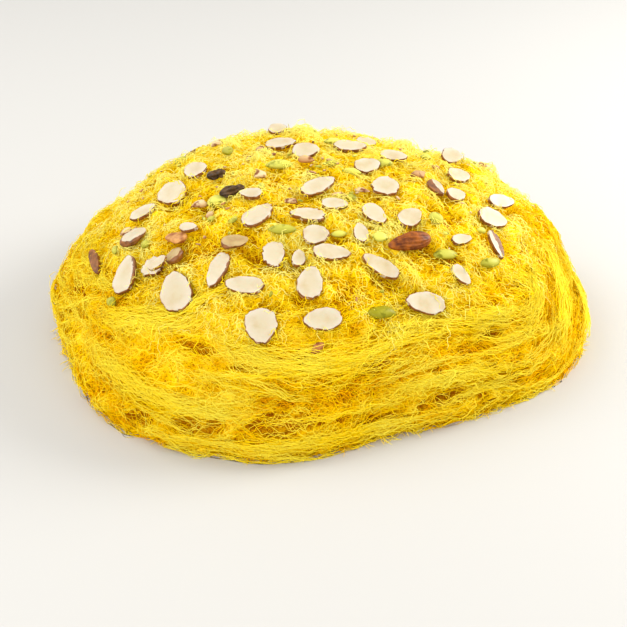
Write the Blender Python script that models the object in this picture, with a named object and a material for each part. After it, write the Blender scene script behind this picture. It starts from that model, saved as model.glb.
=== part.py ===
"""Sutarfeni: a domed mound of hair-fine fried dough threads under sliced almonds and chopped nuts.

The mound is one solid: a core with the relief of matted threads, the thicker combed locks that
wind round its sides, and the small nut pieces that are stuck in its crown, all fused together.
Each almond slice, almond chunk and raisin and the whole almond is a solid of its own on the mound.

Metres, +Z up. The mound stands on z = 0 with its middle over the origin and its front at -Y.
A place on the mound is given by its bearing, in degrees anticlockwise from +X, and its climb,
from 0 at the foot to 1 at the top. A place on the crown may be given by its plan position too.
"""

import random
from math import acos, atan2, cos, degrees, exp, hypot, pi, radians, sin, sqrt, tan

import bmesh
import bpy
from mathutils import Matrix, Vector, noise
from mathutils.bvhtree import BVHTree

# ---- The mound's outline
MOUND_RADIUS = 0.1335
MOUND_HEIGHT = 0.0850
SHOULDER = 0.92          # under 1 makes the sides fuller than an ellipse's
LOBES = [                # swellings of the plan outline: times round, size, bearing of one crest
    (1, 0.047, 257), (2, 0.022, 10), (3, 0.044, -2), (4, 0.010, -11), (5, 0.021, 36),
]
TUCK = 0.010             # how much the foot pulls in, as a share of the radius
TUCK_CLIMB = 0.09

# ---- Relief of the matted threads
LUMP_SIZE, LUMP_HEIGHT = 0.034, 0.0030
CRUMB_SIZE, CRUMB_HEIGHT = 0.012, 0.0026
COMB_LENGTH, COMB_PITCH, COMB_HEIGHT = 0.050, 0.009, 0.0013
FUZZ_CLIMB = 0.40        # above this the threads are matted, below it they are combed
FUZZ_BLEND = 0.06
CORE_CELLS = 24          # cells along each quarter turn of the core
SWELLS = [               # bearing, climb, spread and height of each larger bump or dip
    (18, 0.55, 0.022, 0.0030),
    (60, 0.78, 0.020, -0.0025),
    (150, 0.60, 0.024, 0.0020),
    (247, 0.36, 0.012, -0.0030),
    (252, 0.10, 0.012, -0.0035),
    (282, 0.12, 0.012, -0.0030),
    (226, 0.04, 0.040, 0.0035),
    (332, 0.04, 0.040, 0.0030),
]

# ---- Locks, the thicker strands that stand out of the combed sides
LOCK_THICKNESS = 0.0056
LOCK_LIFT = 0.0007       # height of a lock's middle above the core
LOCK_CORNERS = 6
LOCK_STATION = 0.0160    # distance between a lock's sections
LOCK_END = 0.30          # size of a lock's end, as a share of its middle
NAMED_LOCKS = [          # width, then (bearing, climb) along the lock
    (0.012, [(215, 0.20), (236, 0.19), (250, 0.18), (262, 0.18)]),
    (0.012, [(212, 0.28), (229, 0.34), (240, 0.43), (245, 0.49)]),
    (0.013, [(249, 0.37), (259, 0.34), (275, 0.30), (290, 0.32), (301, 0.35)]),
    (0.012, [(325, 0.44), (329, 0.38), (326, 0.31), (315, 0.26)]),
    (0.012, [(352, 0.39), (341, 0.31), (333, 0.20), (328, 0.13)]),
    (0.012, [(356, 0.27), (347, 0.17), (338, 0.09)]),
    (0.013, [(236, 0.07), (252, 0.07), (270, 0.07), (288, 0.07), (306, 0.06)]),
    (0.012, [(284, 0.18), (297, 0.18), (310, 0.17), (326, 0.14)]),
    (0.011, [(306, 0.37), (316, 0.34), (324, 0.31)]),
]
LOCK_ROWS = [0.07, 0.14, 0.21, 0.28, 0.35]   # climb of each row of other locks
LOCKS_IN_ROW = 5
LOCK_LENGTH = (0.070, 0.125)
LOCK_WIDTH = (0.010, 0.013)
LOCK_DRIFT = 0.06        # most that a lock climbs or falls along its length
LOCK_WAVE = 0.014
LOCK_LOW, LOCK_HIGH = 0.055, 0.47

# ---- Nut pieces on the crown: plan x, y, heading of the long side in degrees, length, width
PISTACHIOS = [
    (-0.0180, -0.0090, 175, 0.014, 0.007), (0.0180, -0.0090, 170, 0.010, 0.005),
    (0.0080, -0.0030, 20, 0.007, 0.005), (0.0340, 0.0005, 10, 0.010, 0.006),
    (0.0560, 0.0160, 0, 0.006, 0.005), (-0.0480, -0.0325, 160, 0.011, 0.009),
    (-0.0490, -0.0510, 0, 0.005, 0.004), (-0.0390, -0.0540, 40, 0.006, 0.004),
    (-0.0260, -0.0285, 90, 0.005, 0.004), (0.0170, -0.0335, 10, 0.007, 0.005),
    (-0.0160, -0.0635, 0, 0.014, 0.006), (0.0110, -0.0620, 15, 0.008, 0.004),
    (0.0300, -0.0625, 0, 0.008, 0.006), (0.0580, -0.0430, 30, 0.008, 0.008),
    (0.0620, -0.0625, 15, 0.013, 0.006), (0.0825, -0.0605, 30, 0.012, 0.006),
    (0.0800, -0.0420, 0, 0.005, 0.004), (0.0300, -0.0980, 5, 0.014, 0.007),
    (-0.0810, -0.0515, 130, 0.006, 0.005), (-0.0965, -0.0715, 120, 0.008, 0.005),
    (-0.0965, -0.0435, 90, 0.006, 0.004), (0.0090, 0.0360, 30, 0.011, 0.006),
    (-0.0450, 0.0215, 100, 0.012, 0.006), (0.0595, 0.0430, 60, 0.010, 0.006),
    (-0.0095, 0.0725, 0, 0.011, 0.006), (-0.0710, 0.0360, 40, 0.010, 0.006),
]
CHOPPED_ALMONDS = [
    (-0.0280, 0.0200, 60, 0.006, 0.005), (-0.0340, 0.0085, 90, 0.008, 0.004),
    (-0.0050, -0.0010, 0, 0.008, 0.006), (-0.0030, -0.0140, 0, 0.007, 0.004),
    (0.0520, -0.0055, 20, 0.010, 0.007), (0.0600, 0.0055, 0, 0.005, 0.004),
    (-0.0270, -0.0200, 30, 0.008, 0.007), (-0.0570, -0.0305, 0, 0.010, 0.006),
    (-0.0510, -0.0420, 70, 0.006, 0.004), (-0.0120, -0.0405, 0, 0.008, 0.004),
    (0.0120, -0.0335, 10, 0.009, 0.004), (0.0230, -0.0270, 170, 0.008, 0.004),
    (0.0000, -0.1175, 50, 0.009, 0.0045), (-0.0940, -0.0295, 0, 0.007, 0.005),
    (0.0280, 0.0370, 140, 0.009, 0.006),
    (-0.0515, 0.0470, 20, 0.008, 0.006), (0.0865, 0.0370, 80, 0.008, 0.005),
    (0.0315, 0.0760, 10, 0.009, 0.006),
]
NUT_SINK = 0.15          # share of a piece's thickness that its middle lies below the surface

# ---- Almond slices: plan x, y, heading, length, width, and lean of the face towards the front
SLICE_THICKNESS = 0.0013
SLICE_CORNERS = 12
SLICES = [
    (-0.0715, -0.0140, 15, 0.0160, 0.0130, 26), (-0.0850, -0.0215, 12, 0.0150, 0.0070, 12),
    (-0.0900, -0.0625, 59, 0.0210, 0.0110, 12), (-0.1070, -0.0400, 265, 0.0160, 0.0050, 15),
    (-0.0780, -0.0645, 60, 0.0115, 0.0110, 12), (-0.0655, -0.0855, 87, 0.0205, 0.0150, 16),
    (-0.0460, -0.0820, 66, 0.0205, 0.0085, 5), (-0.0330, -0.0930, 168, 0.0190, 0.0085, 5),
    (-0.0180, 0.0265, 5, 0.0160, 0.0080, 18), (-0.0050, 0.0130, 10, 0.0140, 0.0100, 22),
    (-0.0200, 0.0545, 0, 0.0100, 0.0070, 35), (0.0180, 0.0250, 0, 0.0170, 0.0090, 18),
    (0.0275, 0.0540, 0, 0.0110, 0.0070, 35), (0.0260, -0.0030, 22, 0.0140, 0.0095, 18),
    (0.0400, 0.0140, 0, 0.0150, 0.0070, 25), (0.0690, 0.0240, 7, 0.0115, 0.0085, 40),
    (0.0725, 0.0055, 20, 0.0130, 0.0100, 15), (0.0600, -0.0145, 302, 0.0120, 0.0070, 10),
    (0.0700, -0.0160, 30, 0.0100, 0.0090, 8), (0.0340, -0.0220, 20, 0.0160, 0.0120, 15),
    (0.0010, -0.0280, 35, 0.0195, 0.0085, 15), (-0.0275, -0.0520, 43, 0.0180, 0.0105, 5),
    (-0.0310, -0.0345, 165, 0.0120, 0.0070, 5), (-0.0040, -0.0520, 178, 0.0190, 0.0090, 0),
    (0.0090, -0.0425, 5, 0.0130, 0.0070, 5), (0.0280, -0.0475, 308, 0.0145, 0.0090, 5),
    (0.0455, -0.0450, 50, 0.0140, 0.0100, 5), (0.0000, -0.0650, 15, 0.0125, 0.0105, 12),
    (0.0210, -0.0610, 100, 0.0120, 0.0065, 5), (0.0070, -0.0755, 359, 0.0185, 0.0080, 5),
    (-0.0200, -0.0770, 95, 0.0180, 0.0100, 0), (-0.0080, -0.0790, 90, 0.0100, 0.0060, 0),
    (-0.0030, -0.0920, 87, 0.0180, 0.0115, 5), (0.0300, -0.0775, 150, 0.0200, 0.0080, 3),
    (0.0695, -0.0525, 20, 0.0110, 0.0055, 10), (0.0680, -0.0720, 313, 0.0120, 0.0060, 5),
    (0.0935, -0.0050, 20, 0.0165, 0.0080, 22), (0.0870, -0.0275, 348, 0.0160, 0.0095, 20),
    (0.0870, -0.0475, 296, 0.0180, 0.0055, 0), (0.0510, -0.0880, 177, 0.0200, 0.0105, 0),
    (0.0025, -0.1070, 194, 0.0185, 0.0105, 3), (-0.0250, -0.1120, 93, 0.0180, 0.0140, 0),
    (-0.0590, -0.0545, 160, 0.0095, 0.0050, 5), (-0.0600, 0.0020, 0, 0.0130, 0.0100, 20),
    (-0.0725, -0.0705, 28, 0.0105, 0.0048, 8),
]
HIDDEN_SLICES = [        # bearing and climb of each slice of the far side; its size is by a rule
    (42, 0.25), (60, 0.45), (82, 0.26), (96, 0.49), (116, 0.31), (127, 0.42), (146, 0.21),
]
SLICE_POINT = 0.22       # how much narrower a slice is towards its pointed end
SLICE_UNEVEN = 0.05

# ---- Larger toppings: plan x, y, heading, length, width, thickness
WHOLE_ALMOND = (0.0440, -0.0620, 25, 0.0225, 0.0090, 0.0062)
ALMOND_CHUNKS = [
    (-0.0655, -0.0560, 150, 0.0125, 0.0080, 0.0050), (-0.0375, -0.0700, 10, 0.0130, 0.0090, 0.0050),
    (-0.0870, -0.0430, 10, 0.0150, 0.0095, 0.0055), (-0.0660, -0.0670, 60, 0.0095, 0.0090, 0.0060),
]
RAISINS = [(-0.0405, -0.0290, 15, 0.013, 0.007, 0.005), (-0.0490, -0.0100, 10, 0.010, 0.006, 0.005)]

GAP = 0.0004             # least clear space between a topping and what it lies on
LIFT_STEP = 0.0002
DINT_DEPTH = 0.0010      # how far the core is pressed in under a slice
DINT_MARGIN = 0.0035
SEED = 7

COLOURS = {              # red, green, blue and roughness
    "fried_threads": (0.87, 0.60, 0.05, 0.55),
    "almond": (0.88, 0.80, 0.66, 0.45),
    "almond_skin": (0.26, 0.09, 0.03, 0.60),
    "raisin": (0.035, 0.015, 0.012, 0.40),
}


def make_material(name):
    """Return a material with its own Principled BSDF in the named colour."""
    red, green, blue, roughness = COLOURS[name]
    material = bpy.data.materials.new(name)
    material.use_nodes = True
    shader = material.node_tree.nodes["Principled BSDF"]
    shader.inputs["Base Color"].default_value = (red, green, blue, 1.0)
    shader.inputs["Roughness"].default_value = roughness
    shader.inputs["Metallic"].default_value = 0.0
    return material


def add_object(name, mesh_data, collection, material=None):
    """Turn a bmesh into a named object in a collection."""
    mesh = bpy.data.meshes.new(name)
    mesh_data.to_mesh(mesh)
    mesh_data.free()
    if material:
        mesh.materials.append(material)
    obj = bpy.data.objects.new(name, mesh)
    collection.objects.link(obj)
    return obj


# ---- The mound's surface

def plan_radius(bearing):
    """Distance from the middle to the foot, on a bearing in radians."""
    swelling = sum(size * cos(times * (bearing - radians(crest))) for times, size, crest in LOBES)
    return MOUND_RADIUS * (1 + swelling)


def dome_point(bearing, climb):
    """Point on the smooth dome, on a bearing in radians."""
    slope = climb * pi / 2
    radius = plan_radius(bearing) * max(cos(slope), 0.0) ** SHOULDER
    if climb < TUCK_CLIMB:
        radius *= 1 - TUCK * (1 - climb / TUCK_CLIMB) ** 2
    return Vector((radius * cos(bearing), radius * sin(bearing), MOUND_HEIGHT * sin(slope)))


def dome_normal(bearing, climb):
    """Outward direction of the smooth dome."""
    step = 0.004
    climb = min(climb, 0.985)
    here = dome_point(bearing, climb)
    along = dome_point(bearing + step, climb) - here
    upward = dome_point(bearing, climb + step) - here
    return along.cross(upward).normalized()


def place_on_plan(x, y):
    """Bearing and climb of the place above a plan position."""
    bearing = atan2(y, x)
    share = min(hypot(x, y) / plan_radius(bearing), 1.0)
    return bearing, acos(share ** (1 / SHOULDER)) * 2 / pi


def relief(point, climb):
    """Height of the matted threads above the smooth dome."""
    height = LUMP_HEIGHT * noise.noise(point / LUMP_SIZE)
    fuzz = 1 / (1 + exp(-(climb - FUZZ_CLIMB) / FUZZ_BLEND * 4))
    crumb_place = point / CRUMB_SIZE + Vector((5.0, 9.0, 2.0))
    height += CRUMB_HEIGHT * noise.noise(crumb_place) * (0.35 + 0.65 * fuzz)
    comb_place = Vector((point.x / COMB_LENGTH, point.y / COMB_LENGTH, point.z / COMB_PITCH))
    height += COMB_HEIGHT * noise.noise(comb_place) * (1 - fuzz)
    for bearing, swell_climb, spread, swell_height in SWELLS:
        distance = (point - dome_point(radians(bearing), swell_climb)).length
        height += swell_height * exp(-(distance / spread) ** 2)
    return height


def surface_point(bearing, climb, lift=0.0):
    """Point on the mound, or a little above it."""
    point = dome_point(bearing, climb)
    return point + dome_normal(bearing, climb) * (relief(point, climb) + lift)


# ---- Where the toppings lie

def topping_frame(x, y, heading, lean=0.0):
    """Seat of a topping: the place on the mound, then its long, short and face directions."""
    bearing, climb = place_on_plan(x, y)
    normal = dome_normal(bearing, climb)
    front = Vector((0.0, -1.0, 0.0))
    face = Matrix.Rotation(radians(lean), 3, normal.cross(front)) @ normal
    along = Vector((cos(radians(heading)), sin(radians(heading)), 0.0))
    long_side = (along - face * along.dot(face)).normalized()
    return surface_point(bearing, climb), long_side, face.cross(long_side), face, normal


def hidden_slices():
    """Slices of the far side, each with its own heading and size."""
    rng = random.Random(SEED)
    found = []
    for bearing, climb in HIDDEN_SLICES:
        place = dome_point(radians(bearing), climb)
        heading, length = rng.uniform(0, 180), rng.uniform(0.015, 0.021)
        found.append((place.x, place.y, heading, length, length * rng.uniform(0.5, 0.7), 0.0))
    return found


ALL_SLICES = SLICES + hidden_slices()


def press_dints(core):
    """Press the core in under each slice, so that the slice lies in the threads."""
    for x, y, heading, length, width, lean in ALL_SLICES:
        seat, long_side, short_side, face, _ = topping_frame(x, y, heading, lean)
        for vertex in core.verts:
            offset = vertex.co - seat
            across = offset.dot(long_side) / (length / 2 + DINT_MARGIN)
            down = offset.dot(short_side) / (width / 2 + DINT_MARGIN)
            height = offset.dot(face)
            if across ** 2 + down ** 2 < 1 and abs(height) < length / 2:
                vertex.co -= face * max(height + DINT_DEPTH, 0.0)


def room_under_slices(point):
    """1 on open threads, falling to 0 under a slice, where a lock dives into the mound."""
    room = 1.0
    for x, y, _, length, width, _ in ALL_SLICES:
        bearing, climb = place_on_plan(x, y)
        clear = (point - dome_point(bearing, climb)).length - (length + width) / 4
        room = min(room, max(clear - 0.004, 0.0) / 0.010)
    return room


# ---- The mound

def make_core():
    """Closed dome with a flat foot: a cube's cells, rounded to a ball and drawn onto the mound."""
    core = bmesh.new()
    bmesh.ops.create_cube(core, size=2.0)
    bmesh.ops.subdivide_edges(core, edges=core.edges[:], cuts=CORE_CELLS - 1, use_grid_fill=True)
    below = [vertex for vertex in core.verts if vertex.co.z < -0.5 / CORE_CELLS]
    bmesh.ops.delete(core, geom=below, context="VERTS")
    for vertex in core.verts:
        ball = Vector([tan(share * pi / 4) for share in vertex.co]).normalized()
        bearing = atan2(ball.y, ball.x)
        climb = max(degrees(atan2(ball.z, hypot(ball.x, ball.y))) / 90, 0.0)
        foot = climb < 0.001
        vertex.co = surface_point(bearing, climb)
        if foot:
            vertex.co.z = 0.0
    press_dints(core)
    for vertex in core.verts:
        vertex.co.z = max(vertex.co.z, 0.0)
    rim = [edge for edge in core.edges if edge.is_boundary]
    bmesh.ops.contextual_create(core, geom=rim)
    core.normal_update()
    bmesh.ops.recalc_face_normals(core, faces=core.faces[:])
    return core


def smooth_path(controls, spacing):
    """Even steps along a smooth curve through (bearing in degrees, climb) points."""
    ends = [controls[0]] + controls + [controls[-1]]
    path = []
    for first, start, stop, last in zip(ends, ends[1:], ends[2:], ends[3:]):
        begin = dome_point(radians(start[0]), start[1])
        steps = max(1, round((dome_point(radians(stop[0]), stop[1]) - begin).length / spacing))
        for step in range(steps):
            t = step / steps
            weights = (-t + 2 * t ** 2 - t ** 3, 2 - 5 * t ** 2 + 3 * t ** 3,
                       t + 4 * t ** 2 - 3 * t ** 3, t ** 3 - t ** 2)
            path.append(tuple(sum(w * p[axis] for w, p in zip(weights, (first, start, stop, last))) / 2
                              for axis in (0, 1)))
    return path + [controls[-1]]


def ruled_locks():
    """Locks in rows round the sides, each drifting up or down and waving a little."""
    rng = random.Random(SEED + 1)
    locks = []
    for row, climb in enumerate(LOCK_ROWS):
        for place in range(LOCKS_IN_ROW):
            start = (place + 0.5 * (row % 2) + rng.uniform(-0.2, 0.2)) * 360 / LOCKS_IN_ROW
            span = degrees(rng.uniform(*LOCK_LENGTH) / dome_point(0.0, climb).x)
            drift, wave = rng.uniform(-LOCK_DRIFT, LOCK_DRIFT), rng.uniform(-LOCK_WAVE, LOCK_WAVE)
            controls = []
            for share in (0.0, 0.25, 0.5, 0.75, 1.0):
                height = climb + drift * (share - 0.5) + wave * sin(4 * pi * share)
                controls.append((start + span * share, min(max(height, LOCK_LOW), LOCK_HIGH)))
            locks.append((rng.uniform(*LOCK_WIDTH), controls))
    return locks


def make_lock(width, controls):
    """Flat oval strand that tapers to both ends, swept along the mound."""
    lock = bmesh.new()
    path = smooth_path(controls, LOCK_STATION)
    middles, normals = [], []
    for bearing, climb in path:
        room = room_under_slices(dome_point(radians(bearing), climb))
        lift = LOCK_LIFT - LOCK_THICKNESS * 0.9 * (1 - room)
        middles.append(surface_point(radians(bearing), climb, lift))
        normals.append(dome_normal(radians(bearing), climb))
    last = len(path) - 1
    rings = []
    for number, (middle, normal) in enumerate(zip(middles, normals)):
        along = (middles[min(number + 1, last)] - middles[max(number - 1, 0)]).normalized()
        side = normal.cross(along).normalized()
        size = LOCK_END + (1 - LOCK_END) * sqrt(max(sin(pi * number / last), 0.0))
        ring = []
        for corner in range(LOCK_CORNERS):
            angle = 2 * pi * corner / LOCK_CORNERS
            spread = side * (cos(angle) * width / 2) + normal * (sin(angle) * LOCK_THICKNESS / 2)
            ring.append(lock.verts.new(middle + spread * size))
        rings.append(ring)
    for before, after in zip(rings, rings[1:]):
        for corner in range(LOCK_CORNERS):
            following = (corner + 1) % LOCK_CORNERS
            lock.faces.new((before[corner], before[following], after[following], after[corner]))
    lock.faces.new(rings[0])
    lock.faces.new(rings[-1])
    lock.normal_update()
    bmesh.ops.recalc_face_normals(lock, faces=lock.faces[:])
    return lock


def make_nut(x, y, heading, length, width, number):
    """Small chopped piece of nut, partly sunk in the threads."""
    rng = random.Random(SEED + 100 + number)
    nut = bmesh.new()
    bmesh.ops.create_icosphere(nut, subdivisions=1, radius=1.0)
    seat, long_side, short_side, face, _ = topping_frame(x, y, heading)
    thickness = width * 0.75
    for vertex in nut.verts:
        uneven = vertex.co * rng.uniform(0.88, 1.08)
        vertex.co = (seat + long_side * (uneven.x * length / 2) + short_side * (uneven.y * width / 2)
                     + face * (uneven.z * thickness / 2 - NUT_SINK * thickness))
    return nut


def keep_one_body(mesh_data):
    """Drop every loose scrap and sealed hollow, and keep the body that holds them."""
    unseen, bodies = set(mesh_data.verts), []
    while unseen:
        first = unseen.pop()
        body, edge_of_search = {first}, [first]
        while edge_of_search:
            for edge in edge_of_search.pop().link_edges:
                for vertex in edge.verts:
                    if vertex in unseen:
                        unseen.remove(vertex)
                        body.add(vertex)
                        edge_of_search.append(vertex)
        bodies.append(body)
    largest = max(bodies, key=len)
    extra = [vertex for vertex in mesh_data.verts if vertex not in largest]
    bmesh.ops.delete(mesh_data, geom=extra, context="VERTS")


def make_mound(collection):
    """Fuse core, locks and nut pieces into one solid."""
    pieces = bpy.data.collections.new("fused_pieces")
    collection.children.link(pieces)
    for number, (width, controls) in enumerate(NAMED_LOCKS + ruled_locks()):
        add_object(f"lock_{number:02d}", make_lock(width, controls), pieces)
    for number, nut in enumerate(PISTACHIOS + CHOPPED_ALMONDS):
        add_object(f"nut_{number:02d}", make_nut(*nut, number), pieces)
    mound = add_object("feni_mound", make_core(), collection, make_material("fried_threads"))
    fuse = mound.modifiers.new("fuse", "BOOLEAN")
    fuse.operation = "UNION"
    fuse.operand_type = "COLLECTION"
    fuse.collection = pieces
    fuse.solver = "EXACT"
    evaluated = mound.evaluated_get(bpy.context.evaluated_depsgraph_get())
    fused = bmesh.new()
    fused.from_mesh(evaluated.to_mesh())
    evaluated.to_mesh_clear()
    mound.modifiers.remove(fuse)
    for piece in pieces.objects[:]:
        bpy.data.objects.remove(piece)
    bpy.data.collections.remove(pieces)
    keep_one_body(fused)
    bmesh.ops.triangulate(fused, faces=fused.faces[:])
    fused.to_mesh(mound.data)
    fused.free()
    return mound


# ---- Toppings that are solids of their own

def slice_outline(length, width, rng):
    """Outline of an almond slice: a rounded end, a pointed end and a slightly chipped edge."""
    corners = []
    for corner in range(SLICE_CORNERS):
        angle = 2 * pi * (corner + 0.5) / SLICE_CORNERS
        uneven = 1 + rng.uniform(-SLICE_UNEVEN, SLICE_UNEVEN)
        across = length / 2 * cos(angle) * uneven
        down = width / 2 * sin(angle) * (1 - SLICE_POINT * cos(angle)) * uneven
        corners.append((across, down))
    return corners


def make_plate(length, width, thickness, rng):
    """Almond slice as a flat plate, in its own frame, with its underside at z = 0."""
    plate = bmesh.new()
    outline = slice_outline(length, width, rng)
    under = [plate.verts.new((x, y, 0.0)) for x, y in outline]
    upper = [plate.verts.new((x, y, thickness)) for x, y in outline]
    plate.faces.new(under[::-1])
    plate.faces.new(upper)
    for corner in range(SLICE_CORNERS):
        following = (corner + 1) % SLICE_CORNERS
        plate.faces.new((under[corner], under[following], upper[following], upper[corner]))
    return plate


def make_kernel(length, width, thickness, segments, rings, unevenness, rng):
    """Plump kernel or raisin in its own frame, pointed at one end, with its underside at z = 0."""
    kernel = bmesh.new()
    bmesh.ops.create_uvsphere(kernel, u_segments=segments, v_segments=rings, radius=1.0)
    for vertex in kernel.verts:
        along, across, up = vertex.co.z, vertex.co.x, vertex.co.y
        narrow = (1 - SLICE_POINT * along) * (1 + rng.uniform(-unevenness, unevenness))
        vertex.co = (along * length / 2, across * narrow * width / 2,
                     (1 + up * narrow) * thickness / 2)
    return kernel


def seat_topping(name, shape, place, lean, material, collection, resting_on):
    """Lay a topping on the mound, raised until it is clear of everything already there."""
    seat, long_side, short_side, face, normal = topping_frame(*place, lean)
    shape.verts.index_update()
    points = [vertex.co.copy() for vertex in shape.verts]
    middle = sum(points, Vector()) / len(points)
    samples = points + [point.lerp(middle, 0.5) for point in points]
    faces = [[vertex.index for vertex in polygon.verts] for polygon in shape.faces]
    turn = Matrix((long_side, short_side, face)).transposed()

    def clear(lift):
        base = seat + normal * lift
        tree = BVHTree.FromPolygons([base + turn @ point for point in points], faces)
        for other in resting_on:
            if tree.overlap(other):
                return False
            for sample in samples:
                here = base + turn @ sample
                near, outward, _, distance = other.find_nearest(here)
                if distance < GAP or (distance < 0.004 and (here - near).dot(outward) < 0):
                    return False
        return True

    lift = 0.0
    while not clear(lift):
        lift += LIFT_STEP
    for vertex, point in zip(shape.verts, points):
        vertex.co = seat + normal * lift + turn @ point
    shape.normal_update()
    bmesh.ops.recalc_face_normals(shape, faces=shape.faces[:])
    resting_on.append(BVHTree.FromBMesh(shape))
    return add_object(name, shape, collection, material)


def make_toppings(mound, collection):
    """Whole almond, chunks and raisins first, then the slices in the order of their list."""
    almond, skin, raisin = (make_material(name) for name in ("almond", "almond_skin", "raisin"))
    mound_shape = bmesh.new()
    mound_shape.from_mesh(mound.data)
    resting_on = [BVHTree.FromBMesh(mound_shape)]
    mound_shape.free()
    rng = random.Random(SEED + 2)
    x, y, heading, *size = WHOLE_ALMOND
    kernel = make_kernel(*size, 10, 8, 0.04, rng)
    seat_topping("whole_almond", kernel, (x, y, heading), 0, skin, collection, resting_on)
    for number, (x, y, heading, *size) in enumerate(ALMOND_CHUNKS, start=1):
        chunk = make_kernel(*size, 7, 5, 0.10, rng)
        seat_topping(f"almond_chunk_{number}", chunk, (x, y, heading), 0, skin, collection, resting_on)
    for number, (x, y, heading, *size) in enumerate(RAISINS, start=1):
        berry = make_kernel(*size, 7, 6, 0.12, rng)
        seat_topping(f"raisin_{number}", berry, (x, y, heading), 0, raisin, collection, resting_on)
    for number, (x, y, heading, length, width, lean) in enumerate(ALL_SLICES, start=1):
        plate = make_plate(length, width, SLICE_THICKNESS, rng)
        seat_topping(f"almond_slice_{number:02d}", plate, (x, y, heading), lean, almond,
                     collection, resting_on)


def main():
    for obj in list(bpy.data.objects):
        bpy.data.objects.remove(obj)
    collection = bpy.context.scene.collection
    mound = make_mound(collection)
    make_toppings(mound, collection)
    print("feni_mound triangles:", len(mound.data.polygons))
    print("objects:", len(collection.objects))


main()
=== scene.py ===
# %% [markdown]
# # Sutarfeni, a mound of fried threads
# Sutarfeni is dough pulled into threads as fine as hair, fried in ghee, soaked in saffron syrup
# and piled into a mound with nuts on top. A thread is half a millimetre thick, so no bump map
# could stand in for it: every thread here is a real, closed tube. The solid mound of the frame
# gives the shape, and these lessons dress it, from the inside out.

# %% Load the frame
import random
from math import cos, pi, sin

import bpy
import numpy as np
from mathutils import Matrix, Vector
from mathutils.bvhtree import BVHTree


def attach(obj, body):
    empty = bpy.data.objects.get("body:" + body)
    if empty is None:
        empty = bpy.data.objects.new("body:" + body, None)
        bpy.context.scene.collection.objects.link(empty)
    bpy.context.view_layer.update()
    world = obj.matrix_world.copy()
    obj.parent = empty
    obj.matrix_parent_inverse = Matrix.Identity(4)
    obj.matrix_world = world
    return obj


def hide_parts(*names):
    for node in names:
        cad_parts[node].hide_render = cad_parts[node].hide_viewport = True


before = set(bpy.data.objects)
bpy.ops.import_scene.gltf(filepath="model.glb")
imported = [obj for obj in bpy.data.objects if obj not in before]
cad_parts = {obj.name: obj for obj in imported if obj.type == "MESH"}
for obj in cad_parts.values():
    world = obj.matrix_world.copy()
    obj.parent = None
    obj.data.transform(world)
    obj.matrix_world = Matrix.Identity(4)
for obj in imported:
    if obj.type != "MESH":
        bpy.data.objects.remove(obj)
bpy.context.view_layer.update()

MM = 0.001
SEED = 11
BELOW = np.array([0, 0, -0.08])     # a point under the mound, from which outward is measured
print("nodes in the frame:", len(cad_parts))

# %% [markdown]
# ## The mound as a map
# A place on the mound is easiest to say as a bearing round it and a climb from its foot to its
# top. The two functions below turn such places into points, for whole arrays at once, because
# hundreds of thousands of points are too many for a Python loop. A grid of rays shot inwards then
# measures how far the real solid stands off that smooth dome, lump by lump, so whatever is laid
# by the map follows the solid.

# %% The smooth dome
MOUND_RADIUS, MOUND_HEIGHT = 0.1335, 0.0850
SHOULDER = 0.92
LOBES = [                # swellings of the plan outline: times round, size, bearing of one crest
    (1, 0.047, 257), (2, 0.022, 10), (3, 0.044, -2), (4, 0.010, -11), (5, 0.021, 36),
]
TUCK, TUCK_CLIMB = 0.010, 0.09
TOP_CLIMB = 0.985


def plan_radius(bearing):
    """Distance from the middle to the foot."""
    swelling = sum(size * np.cos(times * (bearing - np.radians(crest)))
                   for times, size, crest in LOBES)
    return MOUND_RADIUS * (1 + swelling)


def dome(bearing, climb):
    """Points on the smooth dome."""
    slope = climb * pi / 2
    radius = plan_radius(bearing) * np.cos(slope) ** SHOULDER
    radius = radius * (1 - TUCK * np.clip(1 - climb / TUCK_CLIMB, 0, 1) ** 2)
    return np.stack([radius * np.cos(bearing), radius * np.sin(bearing),
                     MOUND_HEIGHT * np.sin(slope)], -1)


def unit(vectors):
    """Vectors scaled to length 1."""
    return vectors / np.maximum(np.linalg.norm(vectors, axis=-1, keepdims=True), 1e-12)


def dome_normal(bearing, climb):
    """Outward directions of the smooth dome."""
    climb, step = np.clip(climb, 0.0, TOP_CLIMB), 0.004
    here = dome(bearing, climb)
    return unit(np.cross(dome(bearing + step, climb) - here, dome(bearing, climb + step) - here))


def place_on_plan(x, y):
    """Bearing and climb of the places above plan positions."""
    bearing = np.arctan2(y, x)
    share = np.clip(np.hypot(x, y) / plan_radius(bearing), 0, 0.9999)
    return bearing, np.arccos(share ** (1 / SHOULDER)) * 2 / pi


# %% Measure the solid with rays
MAP_BEARINGS, MAP_CLIMBS = 300, 110
RAY_START = 0.025


def measure_solid(node):
    """Height of the solid above the smooth dome, on a grid of bearings and climbs."""
    mesh = node.data
    tree = BVHTree.FromPolygons([v.co for v in mesh.vertices], [p.vertices for p in mesh.polygons])
    bearings, climbs = np.meshgrid(np.arange(MAP_BEARINGS) * 2 * pi / MAP_BEARINGS,
                                   np.linspace(0, TOP_CLIMB, MAP_CLIMBS), indexing="ij")
    points, normals = dome(bearings, climbs), dome_normal(bearings, climbs)
    heights = np.zeros(bearings.shape)
    for index in np.ndindex(bearings.shape):
        start = Vector(points[index] + normals[index] * RAY_START)
        start.z = max(start.z, 0.3 * MM)
        distance = tree.ray_cast(start, Vector(-normals[index]), 2 * RAY_START)[3]
        heights[index] = RAY_START - distance if distance else 0.0
    return heights


solid_heights = measure_solid(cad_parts["feni_mound"])
print("the solid stands", round(solid_heights.min() / MM, 1), "to",
      round(solid_heights.max() / MM, 1), "mm off the smooth dome")


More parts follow.
